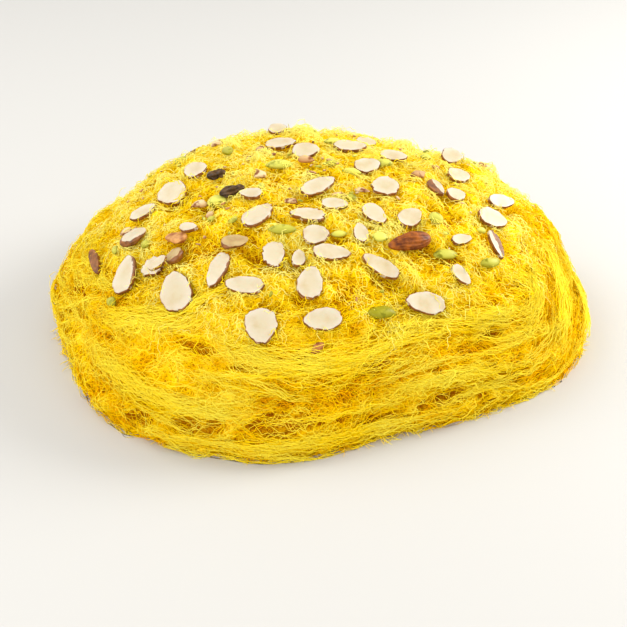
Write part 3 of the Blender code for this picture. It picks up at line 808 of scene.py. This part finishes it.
# %% [markdown]
# ## Wool of the sides
# Between the locks the threads lie singly, like steel wool that was combed one way. Each follows
# the comb with its own tilt and its own crinkle. The deep layer is a little thicker and is painted
# darker as painted shade, and the outer layer is fine and painted pale as a painted highlight,
# with some hairs that stand off the mound.

# %% Single threads of the sides
BEND_WAVE, CRINKLE_WAVE, BOB_WAVE = 0.024, 0.0066, 0.009    # metres from one wave to the next
FOOT_DARKENS = 0.15                     # climb below which the wool gets a little deeper


def side_wool(rng, places, count, length_range, stations, low, high, tint, pull, ridge_shade):
    """Paths and tints of single crinkled threads on the sides."""
    length = rng.uniform(*length_range, count) * MM
    run = np.linspace(0, 1, stations)[:, None] * length
    phase = rng.uniform(0, 2 * pi, (4, count))
    tilt = rng.normal(0, 0.42, count) + (rng.random(count) < 0.2) * rng.uniform(-1.5, 1.5, count)
    tilt = tilt + 0.35 * np.sin(2 * pi * run / BEND_WAVE + phase[0])
    crinkle = CRINKLE_WAVE * rng.uniform(0.8, 1.4, count)
    tilt = tilt + 0.75 * np.sin(2 * pi * run / crinkle + phase[1])
    climb = rng.uniform(-0.01, FUZZ_FOOT + FUZZ_BLEND, count)
    bearing, climb = follow_comb(rng.uniform(0, 2 * pi, count), np.maximum(climb, 0.005), tilt,
                                 length, stations)
    climb = gather(bearing, climb, pull)
    parted = rng.random(count) < 0.85
    climb[parted] = bow_round(places, bearing[parted], climb[parted])
    climb = np.maximum(climb, 0.002)
    ridge = web(dome(bearing, climb)) * (1 - crown_share(climb))
    depth = rng.uniform(low, high, (count, 1))
    stray = (rng.random((count, 1)) < 0.14) * rng.uniform(0.5, 2.4, (count, 1))
    wave = np.sin(2 * pi * run.T / BOB_WAVE + phase[2][:, None])
    height = depth + 1.15 * ridge + 0.35 * wave + stray * np.sin(pi * np.linspace(0, 1, stations))
    # Painted highlight and painted shade: threads that stand higher or lie on the web's ridges are
    # painted paler, those in its hollows deeper. Near the foot the wool is made a little deeper.
    shade = tint - 0.14 * height - ridge_shade * ridge + rng.normal(0, 0.13, (count, 1))
    shade = shade + 0.10 * np.clip(1 - climb / FOOT_DARKENS, 0, 1)
    return duck_under(surface(bearing, climb, height * MM)), np.clip(shade, 0, 1.2)


def foot_hairs(rng, count, stations):
    """Short hairs that stick out of the foot and lie on the ground."""
    bearing, share = rng.uniform(0, 2 * pi, (count, 1)), np.linspace(0, 1, stations)
    turn = rng.normal(0, 1.0, (count, 1)) + rng.normal(0, 1.2, (count, 1)) * share
    step = rng.uniform(3, 9, (count, 1)) * MM / stations
    out = np.cumsum(np.cos(turn) * step, 1) - 3 * MM
    aside = np.cumsum(np.sin(turn) * step, 1)
    radius = plan_radius(bearing) + out
    bearing = bearing + aside / radius
    rise = rng.uniform(0.3, 3.5, (count, 1)) * MM * (1 - 0.7 * share)
    return np.stack([radius * np.cos(bearing), radius * np.sin(bearing), rise], -1)


# The deep layer gets a deeper tint as painted shade, the outer layer a paler one as a painted
# highlight.
deep_paths, deep_tint = side_wool(thread_rng, open_places + pits, 2750, (18, 34), 9, -1.9, -0.6,
                                  0.40, 0.9, 0.28)
outer_paths, outer_tint = side_wool(thread_rng, pits, 3150, (14, 26), 10, -0.8, 0.4,
                                    0.18, 1.1, 0.23)
FOOT_HAIRS = 420
hairs = foot_hairs(thread_rng, FOOT_HAIRS, 7)
hair_tint = thread_rng.uniform(0.1, 0.5, (FOOT_HAIRS, 1))
dress(make_threads("deep_wool", [(deep_paths, 0.235 * MM, deep_tint)]), combed_finish)
dress(make_threads("outer_wool", [(outer_paths, 0.16 * MM, outer_tint),
                                  (hairs, 0.16 * MM, hair_tint)]), combed_finish)

# %% [markdown]
# ## The matted crown
# On the crown the threads are broken short and matted like felt. Each is a curl: it sets off in
# some direction along the mound, turns as it goes and arches a little off the surface. Curls sit
# on the crumbs, and many are thrown in tufts, so bright crumbs and dark gaps appear: crumb tops,
# tufts and raised curls are painted paler as a painted highlight, and the gaps deeper as painted
# shade.

# %% Curls
def curls(x, y, heading, length, bend, crinkle, lift, arch, stations, rng):
    """Paths of short curls that start above plan positions, and their painted highlight: the crumb
    height under them, lower off the crown.
    """
    share = np.linspace(0, 1, stations)
    phase = rng.uniform(0, 2 * pi, (2, len(x), 1))
    turn = heading[:, None] + bend[:, None] * share + crinkle * np.sin(13 * share + phase[0])
    step = (length / (stations - 1))[:, None]
    flat = 0.3 + 0.7 * dome_normal(*place_on_plan(x, y))[:, 2:3]
    across = x[:, None] + np.cumsum(np.cos(turn) * step, 1) * flat
    away = y[:, None] + np.cumsum(np.sin(turn) * step, 1) * flat
    bearing, climb = place_on_plan(across, away)
    crumb = crumbs(dome(bearing, climb)) * crown_share(climb)
    height = (lift[:, None] + arch[:, None] * np.sin(pi * share)
              + 0.4 * np.sin(12 * share + phase[1]))
    off_crown = 1 - crown_share(climb)
    return surface(bearing, climb, (height + 2.5 * crumb) * MM), crumb - 0.7 * off_crown


TUFTS, TUFT_SPREAD = 650, 1.9 * MM


def crown_places(rng, count):
    """Plan positions scattered evenly over the crown."""
    reach = np.cos(FUZZ_FOOT * pi / 2) ** SHOULDER
    bearing = rng.uniform(0, 2 * pi, count)
    radius = plan_radius(bearing) * reach * np.sqrt(rng.random(count))
    return radius * np.cos(bearing), radius * np.sin(bearing)


def crown_fuzz(rng, count, tufted, low, high, tint, length_range, stations):
    """Paths and tints of curls on the crown, each either in a tuft or on its own."""
    middle_x, middle_y = crown_places(rng, TUFTS)
    tone = rng.normal(0, 0.20, TUFTS)
    own_x, own_y = crown_places(rng, count)
    tuft, grouped = rng.integers(0, TUFTS, count), rng.random(count) < tufted
    x = np.where(grouped, middle_x[tuft] + rng.normal(0, TUFT_SPREAD, count), own_x)
    y = np.where(grouped, middle_y[tuft] + rng.normal(0, TUFT_SPREAD, count), own_y)
    turned = rng.uniform(0, 2 * pi, TUFTS)
    heading = np.where(grouped, turned[tuft] + rng.normal(0, 0.5, count),
                       rng.uniform(0, 2 * pi, count))
    lift = rng.uniform(low, high, count) + np.where(grouped, 0.3, 0)
    arch = rng.uniform(0, 1.0, count) + (rng.random(count) < 0.08) * rng.uniform(0.5, 2.5, count)
    paths, crumb = curls(x, y, heading, rng.uniform(*length_range, count) * MM,
                         rng.normal(0, 1.6, count), 0.9, lift, arch, stations, rng)
    # Painted highlight and painted shade: curls in tufts, lifted curls and curls on crumb tops are
    # painted paler, curls in the gaps deeper; each tuft also has its own tone.
    shade = (tint + np.where(grouped, tone[tuft] - 0.06, 0) + rng.normal(0, 0.10, count)
             - 0.14 * lift)
    return duck_under(paths, over=0.3), np.clip(shade[:, None] - 0.40 * crumb, 0, 1.2)


# Deeper layers get a deeper tint: painted shade.
FUZZ_LAYERS = [          # piece, curls, share in tufts, lowest and highest lift, tint, radius
    ("deep_fuzz", 2100, 0.1, -1.6, -0.5, 0.24, 0.24),
    ("fuzz", 3500, 0.6, -0.9, 0.4, 0.15, 0.165),
    ("loose_fuzz", 1900, 0.85, -0.1, 1.0, 0.10, 0.145),
]
CURL_LENGTH, CURL_STATIONS = (7, 16), 9
for name, count, tufted, low, high, tint, radius in FUZZ_LAYERS:
    paths, tints = crown_fuzz(thread_rng, count, tufted, low, high, tint, CURL_LENGTH,
                              CURL_STATIONS)
    dress(make_threads(name, [(paths, radius * MM, tints)]), fuzz_finish)

# %% [markdown]
# ## Almond slices
# A sliced almond is a thin oval plate, ivory inside, with the torn brown skin left round its rim.
# Each solid slice of the frame gives its outline. The plate is built from rings of that outline:
# an underside, a rounded edge and a face that dips a little, and a rim value from 0 in the middle
# to 1 at the edge tells the material where skin may stick.

# %% Slice mesh
SLICE_SEGMENTS = 36
SLICE_RINGS = [          # share of the outline, height as a share of half the thickness, rim value
    (0.0, -1.0, 0.0), (0.55, -1.0, 0.2), (0.96, -1.0, 0.9), (1.0, -0.8, 1.0),
    (1.01, 0.0, 1.0), (1.0, 0.85, 1.0), (0.975, 1.1, 0.90), (0.91, 1.12, 0.66),
    (0.62, 1.0, 0.30), (0.30, 0.95, 0.1), (0.0, 0.94, 0.0),
]
TORN_SLICES = (5, 20, 24, 31)


def slice_outline(seat, rng, torn):
    """Egg-shaped outline that fills the slice, a little ragged, or jagged where it was torn."""
    turns = np.arange(SLICE_SEGMENTS) * 2 * pi / SLICE_SEGMENTS
    tip = np.sign((seat.corners[:, 0] ** 3).sum())
    across = seat.half[0] * np.cos(turns)
    down = seat.half[1] * np.sin(turns) * (1 - 0.20 * tip * np.cos(turns)) * 1.02
    ragged = 1 + 0.02 * np.sin(turns * 7 + rng.uniform(0, 6)) + rng.normal(0, 0.022, SLICE_SEGMENTS)
    if torn:
        ragged = ragged - abs(rng.normal(0, 0.09, SLICE_SEGMENTS)) - 0.06 * np.sin(turns * 2 + 1)
    return across * ragged, down * ragged


def ring_mesh(name, rings, rims):
    """Closed mesh from rings of points and rim values; its first and last ring are one point."""
    segments = rings[1].shape[0]
    points = np.concatenate([rings[0][:1], *rings[1:-1], rings[-1][:1]])
    faces = []
    for number in range(segments):
        following = (number + 1) % segments
        faces.append((0, 1 + following, 1 + number))
        for ring in range(len(rings) - 3):
            low, high = 1 + ring * segments, 1 + (ring + 1) * segments
            faces.append((low + number, low + following, high + following, high + number))
        top = 1 + (len(rings) - 3) * segments
        faces.append((top + number, top + following, len(points) - 1))
    per_point = np.concatenate([rims[0][:1], *rims[1:-1], rims[-1][:1]])
    return new_piece(name, points.tolist(), faces, "rim", per_point)


SKIN_SIDES = {           # slices cut at the nut's side: heading of the skin, where it starts
    3: (0, 0.62), 4: (0, -2.0), 18: (215, -0.1), 39: (20, 0.0), 7: (330, 0.72),
}


def make_slice(seat, number):
    """Almond slice in place of one solid slice."""
    rng = np.random.default_rng(SEED + 300 + number)
    outline = slice_outline(seat, rng, number in TORN_SLICES)
    curl = rng.uniform(-0.25, 0.45) * MM
    heading, start = SKIN_SIDES.get(number, (0, 2.0))
    side = np.array([np.cos(np.radians(heading)), np.sin(np.radians(heading)), 0]) @ seat.turn.T
    rings, rims = [], []
    for share, height, rim in SLICE_RINGS:
        across, down = outline[0] * share, outline[1] * share
        up = height * seat.half[2] * 1.45 + curl * (across / seat.half[0]) ** 2 * 0.8
        rings.append(seat.place(np.stack([across, down, up], -1)))
        towards = (across * side[0] + down * side[1]) / np.hypot(*(side[:2] * seat.half[:2]))
        rims.append(np.where(towards > start, 1.2, rim))
    return ring_mesh(f"sliced_almond_{number:02d}", rings, rims)


# %% [markdown]
# ## Flesh and skin
# Slices and cut chunks share one look: ivory flesh with faint veins, and brown skin that clings
# to parts of the rim. It is a node group, so each material only gives it three colours. The group
# also puts out a height, and the bump that uses it stays in the material.

# %% Flesh with clinging skin, shared by slices and cut chunks
def make_skinned_flesh():
    """Group: rim and flesh colours in, colour and bump height out."""
    group, given, result = new_group(
        "skinned flesh",
        [("Rim", "NodeSocketFloat", 0.0), ("Middle", "NodeSocketColor", (1, 1, 1, 1)),
         ("Edge", "NodeSocketColor", (1, 1, 1, 1)), ("Cloud", "NodeSocketColor", (1, 1, 1, 1))],
        [("Color", "NodeSocketColor"), ("Height", "NodeSocketFloat")])
    rim = given.outputs["Rim"]
    clouds, tear = noise_value(group, 160.0, 4.0), noise_value(group, 420.0, 3.0)
    pale = mix_colours(group, remap(group, rim, 0.1, 0.75), given.outputs["Middle"],
                       given.outputs["Edge"])
    flesh = mix_colours(group, remap(group, clouds, 0.45, 0.75), pale, given.outputs["Cloud"])
    reach = remap(group, calculate(group, "MULTIPLY_ADD", tear, 0.32, rim), 1.00, 1.05)
    kept = calculate(group, "MAXIMUM", remap(group, noise_value(group, 300.0, 2.0), 0.39, 0.44),
                     remap(group, rim, 1.10, 1.15))
    skin = mix_colours(group, remap(group, tear, 0.3, 0.7), (0.11, 0.033, 0.006, 1),
                       (0.32, 0.115, 0.022, 1))
    skinned = mix_colours(group, calculate(group, "MULTIPLY", reach, kept), flesh, skin)
    group.links.new(skinned, result.inputs["Color"])
    group.links.new(clouds, result.inputs["Height"])
    return group


skinned_flesh = make_skinned_flesh()


# %% Ivory flesh and brown skin
def connect_surface(tree, effect, shader, strength, depth):
    """Colour and bump height of a group node, into the shader."""
    tree.links.new(effect.outputs["Color"], shader.inputs["Base Color"])
    bump = add_node(tree, "ShaderNodeBump", Strength=strength, Distance=depth)
    tree.links.new(effect.outputs["Height"], bump.inputs["Height"])
    tree.links.new(bump.outputs["Normal"], shader.inputs["Normal"])


def make_slice_material(name, middle, edge, cloud):
    """Almond flesh with the skin that clings to it."""
    material, shader = new_material(name, 0.42, Subsurface_Weight=0.12,
                                    Subsurface_Scale=0.6 * MM)
    tree = material.node_tree
    effect = add_node(tree, "ShaderNodeGroup", node_tree=skinned_flesh, Middle=(*middle, 1),
                      Edge=(*edge, 1), Cloud=(*cloud, 1))
    rim = add_node(tree, "ShaderNodeAttribute", attribute_name="rim")
    tree.links.new(rim.outputs["Fac"], effect.inputs["Rim"])
    connect_surface(tree, effect, shader, 0.25, 0.2 * MM)
    return material


slice_finish = make_slice_material("almond slice", (0.575, 0.49, 0.325), (0.62, 0.545, 0.43),
                                   (0.52, 0.41, 0.23))
for number, seat in enumerate(slice_seats, start=1):
    piece = dress(make_slice(seat, number), slice_finish)
    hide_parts(seat.node)
print("slices built:", len(slice_seats))

# %% [markdown]
# ## Whole almond, chunks and raisins
# These are plump bodies: rings round a long axis, with a pointed end. The almond's skin has
# grooves that run from end to end. Three chunks were cut flat, so they show the flesh inside and
# keep dark skin on one side, and the fourth is toasted brown. The raisins are shrunk into folds.

# %% Plump bodies
def make_kernel(name, seat, slim, point, grooves, groove_depth, rough, cut, skinned, seed):
    """Body round the long axis: slimmed, grooved, wrinkled and cut flat, but less on one side."""
    segments, ring_count = 48, 30
    turns = np.arange(segments) * 2 * pi / segments
    heading = np.radians(skinned)
    side = seat.turn @ np.array([np.cos(heading), np.sin(heading), 0])
    rings, skins = [], []
    for end in np.linspace(0, pi, ring_count):
        along = -np.cos(end) * np.ones(segments)
        around = np.sin(end) ** 0.85 * (1 - point * along)
        local = np.stack([along, around * np.cos(turns), around * np.sin(turns)], -1)
        groove = groove_depth * np.sin(grooves * turns + 1.5 * waves(local, 1.6, seed))
        local[:, 1:] *= (1 + groove * np.sin(end) + rough * waves(local, 0.9, seed + 1))[:, None]
        flat = cut + 0.08 * waves(local, 1.3, seed + 2) + 0.55 * local[:, :2] @ side[:2]
        skins.append(np.where(local[:, 2] < flat - 0.1, 1.2, 0.3))
        local[:, 2] = np.minimum(local[:, 2], flat)
        rings.append(seat.place(local * seat.half * [1, *slim]))
    return ring_mesh(name, rings, skins)


# %% Wrinkled skin, shared by the brown almond, the toasted chunk and the raisins
def make_wrinkles():
    """Group: two browns and the scale of the wrinkles in, colour and bump height out."""
    group, given, result = new_group(
        "wrinkled skin",
        [("Dark", "NodeSocketColor", (0, 0, 0, 1)), ("Light", "NodeSocketColor", (1, 1, 1, 1)),
         ("Scale", "NodeSocketFloat", 350.0)],
        [("Color", "NodeSocketColor"), ("Height", "NodeSocketFloat")])
    wrinkles = noise_value(group, 350.0, 5.0)
    group.links.new(given.outputs["Scale"], wrinkles.node.inputs["Scale"])
    colour = mix_colours(group, remap(group, wrinkles, 0.35, 0.65), given.outputs["Dark"],
                         given.outputs["Light"])
    group.links.new(colour, result.inputs["Color"])
    group.links.new(wrinkles, result.inputs["Height"])
    return group


wrinkled_skin = make_wrinkles()


def make_skin_material(name, dark, light, scale, roughness, bump_depth, **shader_values):
    """Wrinkled skin in two browns."""
    material, shader = new_material(name, roughness, **shader_values)
    tree = material.node_tree
    effect = add_node(tree, "ShaderNodeGroup", node_tree=wrinkled_skin, Dark=(*dark, 1),
                      Light=(*light, 1), Scale=scale)
    connect_surface(tree, effect, shader, 0.7, bump_depth * MM)
    return material


almond_skin = make_skin_material("almond skin", (0.09, 0.014, 0.001), (0.36, 0.095, 0.004),
                                 350.0, 0.45, 0.6, Specular_IOR_Level=0.3)
toasted_finish = make_skin_material("toasted almond", (0.30, 0.07, 0.008), (0.72, 0.36, 0.10),
                                    240.0, 0.45, 0.4)
raisin_skin = make_skin_material("raisin skin", (0.022, 0.011, 0.004), (0.12, 0.060, 0.020),
                                 420.0, 0.36, 0.6, Specular_IOR_Level=0.2)
chunk_finish = make_slice_material("cut almond", (0.50, 0.36, 0.15), (0.46, 0.30, 0.12),
                                   (0.34, 0.20, 0.07))

# %% The seven plump pieces
# Piece, node, finish and slot; then how slim, how pointed, grooves and their depth, how rough,
# height of the cut, heading of the skinned side, and seed
KERNELS = [
    ("brown_almond", "whole_almond", almond_skin, "almond_skin",
     (1.0, 1.0), 0.22, 13, 0.10, 0.03, 3.0, 270, 31),
    ("toasted_chunk", "almond_chunk_1", toasted_finish, "almond_skin",
     (1.0, 0.95), 0.10, 5, 0.06, 0.12, 0.30, 270, 37),
    ("cut_chunk", "almond_chunk_2", chunk_finish, "almond_skin",
     (1.0, 0.95), 0.12, 5, 0.08, 0.12, 0.15, 215, 53),
    ("pale_kernel", "almond_chunk_3", slice_finish, "almond_skin",
     (1.0, 0.95), 0.15, 4, 0.05, 0.08, 0.60, 200, 59),
    ("round_kernel", "almond_chunk_4", chunk_finish, "almond_skin",
     (1.0, 0.95), 0.05, 4, 0.05, 0.08, 0.40, 315, 61),
    ("dark_raisin_1", "raisin_1", raisin_skin, "raisin",
     (0.9, 0.80), 0.05, 5, 0.20, 0.17, 3.0, 270, 41),
    ("dark_raisin_2", "raisin_2", raisin_skin, "raisin",
     (0.9, 0.80), 0.05, 6, 0.18, 0.17, 3.0, 270, 47),
]
for name, node, material, slot, *form in KERNELS:
    piece = dress(make_kernel(name, seats[node], *form), material)
    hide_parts(node)
print("plump pieces built:", len(KERNELS))

# %% [markdown]
# ## Pistachios and almond bits
# The small pieces are stuck in the crown, and in the solid they are part of the mound. Here each
# gets its own shape and colour: slivers and half kernels of pistachio, green with a brownish
# skin, and chips of almond, with tiny crumbs of both kinds strewn between them by a seeded rule.
# All pistachios form one piece, and all chips another.

# %% Places of the small pieces
PISTACHIOS = [           # plan x, y in millimetres, heading, length, width
    (-18, -9, 175, 14, 7), (18, -9, 170, 10, 5), (8, -3, 20, 7, 5), (34, 0.5, 10, 10, 6),
    (56, 16, 0, 6, 5), (-48, -32.5, 160, 11, 9), (-49, -51, 0, 5, 4), (-39, -54, 40, 6, 4),
    (-26, -28.5, 90, 5, 4), (17, -33.5, 10, 7, 5), (-16, -63.5, 0, 14, 6), (11, -62, 15, 8, 4),
    (30, -62.5, 0, 8, 6), (58, -43, 30, 8, 8), (62, -62.5, 15, 13, 6), (82.5, -60.5, 30, 12, 6),
    (80, -42, 0, 5, 4), (30, -98, 5, 14, 7), (-81, -51.5, 130, 6, 5),
    (-96.5, -71.5, 120, 8, 5), (-96, -43.5, 90, 6, 4), (9, 36, 30, 11, 6), (-45, 21.5, 100, 12, 6),
    (59.5, 43, 60, 10, 6), (-9.5, 72.5, 0, 11, 6), (-71, 36, 40, 10, 6),
]
ALMOND_CHIPS = [
    (-28, 20, 60, 6, 5), (-34, 8.5, 90, 8, 4), (-5, -1, 0, 8, 6), (-3, -14, 0, 7, 4),
    (52, -5.5, 20, 10, 7), (60, 5.5, 0, 5, 4), (-27, -20, 30, 8, 7), (-57, -30.5, 0, 10, 6),
    (-51, -42, 70, 6, 4), (-12, -40.5, 0, 8, 4), (12, -33.5, 10, 9, 4), (23, -27, 170, 8, 4),
    (0, -117.5, 50, 9, 4.5), (-94, -29.5, 0, 7, 5),
    (28, 37, 140, 9, 6), (-51.5, 47, 20, 8, 6), (86.5, 37, 80, 8, 5), (31.5, 76, 10, 9, 6),
]
GREEN_CRUMBS, BROWN_CRUMBS = 44, 50
CRUMB_REACH, CRUMB_SHIFT = 98, 8    # crumbs lie within this reach of a point a little to the front
SMALL = 4.5              # pieces shorter than this get a coarser mesh and stand a little higher


def with_crumbs(places, count, seed):
    """The listed pieces, and tiny crumbs of the same nut strewn between the toppings."""
    rng = random.Random(seed)
    strewn = []
    while len(strewn) < count:
        turn, reach = rng.uniform(0, 2 * pi), CRUMB_REACH * rng.random() ** 0.7
        x, y = cos(turn) * reach, sin(turn) * reach - CRUMB_SHIFT
        if all(np.hypot(x * MM - seat.middle[0], y * MM - seat.middle[1]) > seat.half[0] + MM
               for seat in seats.values()):
            strewn.append((x, y, rng.uniform(0, 180), rng.uniform(1.8, 4.0), rng.uniform(1.3, 2.4)))
    return [*places, *strewn]


def nut_piece(name, places, thickness, taper, cut_count, cut_depth, lift, seed):
    """All small pieces of one kind as one mesh: eggs with flat cuts, each with its own tone and
    painted shade.
    """
    points, faces, tones_and_shade = [], [], []
    for number, (x, y, heading, length, width) in enumerate(places):
        rng = np.random.default_rng(seed + number)
        segments, ring_count = (16, 11) if length > SMALL else (8, 6)
        turns = np.arange(segments) * 2 * pi / segments
        bearing, climb = place_on_plan(np.array(x * MM), np.array(y * MM))
        face = dome_normal(bearing, climb)
        long_side = np.array([np.cos(np.radians(heading)), np.sin(np.radians(heading)), 0])
        long_side = unit(long_side - face * (long_side @ face))
        short_side = np.cross(face, long_side)
        crumb = np.clip(crumbs(dome(bearing, climb)) * crown_share(climb), -0.3, 1.0)
        seat = surface(bearing, climb, (lift + 0.4 * (length < SMALL) + 1.6 * crumb) * MM)
        # Pieces low on the front are made darker
        tone, base = rng.random() * min(1, (y + 110) / 60) - max(0, -80 - y) / 80, len(points)
        cuts, depths = unit(rng.normal(size=(cut_count, 3))), rng.uniform(*cut_depth, cut_count)
        for end in np.linspace(0.06, pi - 0.06, ring_count):
            along = -np.cos(end) * np.ones(segments)
            around = np.sin(end) ** taper
            local = np.stack([along, around * np.cos(turns), around * np.sin(turns)], -1)
            local *= np.minimum(1, (depths / np.maximum(local @ cuts.T, 1e-6)).min(1))[:, None]
            local[:, 2] -= 0.2 * local[:, 0] ** 2
            world = (seat + long_side * (local[:, 0:1] * length / 2 * MM)
                     + short_side * (local[:, 1:2] * width / 2 * MM)
                     + face * (local[:, 2:3] * width * thickness / 2 * MM))
            world = duck_under(world[None], slice_seats)[0]
            points.extend(world.tolist())
            # Each piece is painted lighter on its outward face and darker underneath: painted
            # shade.
            tones_and_shade.extend((tone + 0.5 * local[:, 2] - 0.1).tolist())
        for ring in range(ring_count - 1):
            low, high = base + ring * segments, base + (ring + 1) * segments
            for turn in range(segments):
                following = (turn + 1) % segments
                faces.append((low + turn, low + following, high + following, high + turn))
        faces.append(tuple(range(base, base + segments))[::-1])
        faces.append(tuple(range(len(points) - segments, len(points))))
    return new_piece(name, points, faces, "tone", tones_and_shade)


# %% Torn flesh, shared by the pistachios and the chips
def make_torn_flesh():
    """Group: tone, colours and share of skin in, colour and bump height out."""
    group, given, result = new_group(
        "torn flesh",
        [("Tone", "NodeSocketFloat", 0.5), ("First", "NodeSocketColor", (0, 0, 0, 1)),
         ("Second", "NodeSocketColor", (1, 1, 1, 1)), ("Skin", "NodeSocketColor", (0, 0, 0, 1)),
         ("Skin Share", "NodeSocketFloat", 0.3)],
        [("Color", "NodeSocketColor"), ("Height", "NodeSocketFloat")])
    tear = noise_value(group, 260.0, 3.0)
    flesh = mix_colours(group, given.outputs["Tone"], given.outputs["First"],
                        given.outputs["Second"])
    reach = calculate(group, "MULTIPLY_ADD", given.outputs["Skin Share"], 0.25, tear)
    patch = remap(group, reach, 0.60, 0.72)
    group.links.new(mix_colours(group, patch, flesh, given.outputs["Skin"]),
                    result.inputs["Color"])
    group.links.new(tear, result.inputs["Height"])
    return group


torn_flesh = make_torn_flesh()


def make_nut_material(name, first, second, skin, skin_share, roughness):
    """Nut flesh between two tones, with torn patches of skin."""
    material, shader = new_material(name, roughness, Specular_IOR_Level=0.2)
    tree = material.node_tree
    effect = add_node(tree, "ShaderNodeGroup", node_tree=torn_flesh, First=(*first, 1),
                      Second=(*second, 1), Skin=(*skin, 1))
    effect.inputs["Skin Share"].default_value = skin_share
    # The tone holds each piece's own tone and the painted shade, lighter on its outward face.
    tone = add_node(tree, "ShaderNodeAttribute", attribute_name="tone")
    tree.links.new(tone.outputs["Fac"], effect.inputs["Tone"])
    connect_surface(tree, effect, shader, 0.5, 0.3 * MM)
    return material


pistachio_green = make_nut_material("pistachio", (0.28, 0.25, 0.003), (0.68, 0.66, 0.11),
                                    (0.20, 0.19, 0.003), 0.25, 0.45)
chip_finish = make_nut_material("almond chip", (0.42, 0.17, 0.045), (0.74, 0.56, 0.30),
                                (0.22, 0.07, 0.02), 0.4, 0.5)
dress(nut_piece("pistachio_pieces", with_crumbs(PISTACHIOS, GREEN_CRUMBS, 3),
                0.62, 1.25, 3, (0.55, 0.9), 0.8, 530), pistachio_green)
dress(nut_piece("almond_chips", with_crumbs(ALMOND_CHIPS, BROWN_CRUMBS, 4),
                0.60, 0.8, 8, (0.5, 0.85), 0.8, 600), chip_finish)

# %% The new pieces stand for the solid mound
for name in ("thread_core", "big_locks", "fine_locks", "deep_wool", "outer_wool", "deep_fuzz",
             "fuzz", "loose_fuzz", "pistachio_pieces", "almond_chips"):
    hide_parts("feni_mound")

# %% [markdown]
# ## Floor, light and camera
# The mound stands on a plain pale floor in soft daylight: a bright, even sky and three soft lamps.
# The strongest stands to the right and makes that shoulder glow. A wide one in front lights the
# combed side gently, and a third from the left opens the shade on the other shoulder.

# %% Floor and sky
def make_floor():
    """Plain pale floor."""
    bpy.ops.mesh.primitive_plane_add(size=8.0, location=(0, 0, 0))
    floor = bpy.context.object
    floor.name = "floor"
    material, shader = new_material("pale floor", 0.6)
    shader.inputs["Base Color"].default_value = (0.54, 0.53, 0.508, 1)
    floor.data.materials.append(material)
    return floor


floor = make_floor()
world = bpy.data.worlds.new("sky")
bpy.context.scene.world = world
world.use_nodes = True
sky = world.node_tree.nodes["Background"]
sky.inputs["Color"].default_value = (1.0, 0.99, 0.97, 1)
sky.inputs["Strength"].default_value = 0.80


# %% Lamps
def add_lamp(name, place, aim, size, power, colour):
    """Soft square lamp turned towards a point."""
    light = bpy.data.lights.new(name, "AREA")
    light.size, light.energy, light.color = size, power, colour
    lamp = bpy.data.objects.new(name, light)
    lamp.location = place
    lamp.rotation_euler = (Vector(aim) - Vector(place)).to_track_quat("-Z", "Y").to_euler()
    bpy.context.scene.collection.objects.link(lamp)
    return lamp


add_lamp("key", (0.80, 0.24, 0.50), (0, 0, 0.04), 0.5, 10.4, (1.0, 0.99, 0.96))
add_lamp("front", (-0.35, -1.0, 0.42), (0, 0, 0.03), 0.9, 7.0, (1.0, 0.99, 0.97))
add_lamp("left", (-0.62, 0.20, 0.80), (0, 0, 0.05), 0.7, 5.0, (1.0, 1.0, 1.0))

# %% Camera
CAMERA_HEIGHT_ANGLE = np.radians(29.3)
CAMERA_DISTANCE = 0.848
LOOK_AT = Vector((-0.0011, -0.0035, 0.0))
FRAME_PIXELS, FOCAL_PIXELS = 627, 1600

camera_data = bpy.data.cameras.new("camera")
camera_data.sensor_width = 36.0
camera_data.lens = 36.0 * FOCAL_PIXELS / FRAME_PIXELS
camera = bpy.data.objects.new("camera", camera_data)
camera.location = LOOK_AT + CAMERA_DISTANCE * Vector(
    (0, -np.cos(CAMERA_HEIGHT_ANGLE), np.sin(CAMERA_HEIGHT_ANGLE)))
camera.rotation_euler = (LOOK_AT - camera.location).to_track_quat("-Z", "Y").to_euler()
bpy.context.scene.collection.objects.link(camera)
bpy.context.scene.camera = camera
bpy.context.scene.view_settings.view_transform = "Standard"
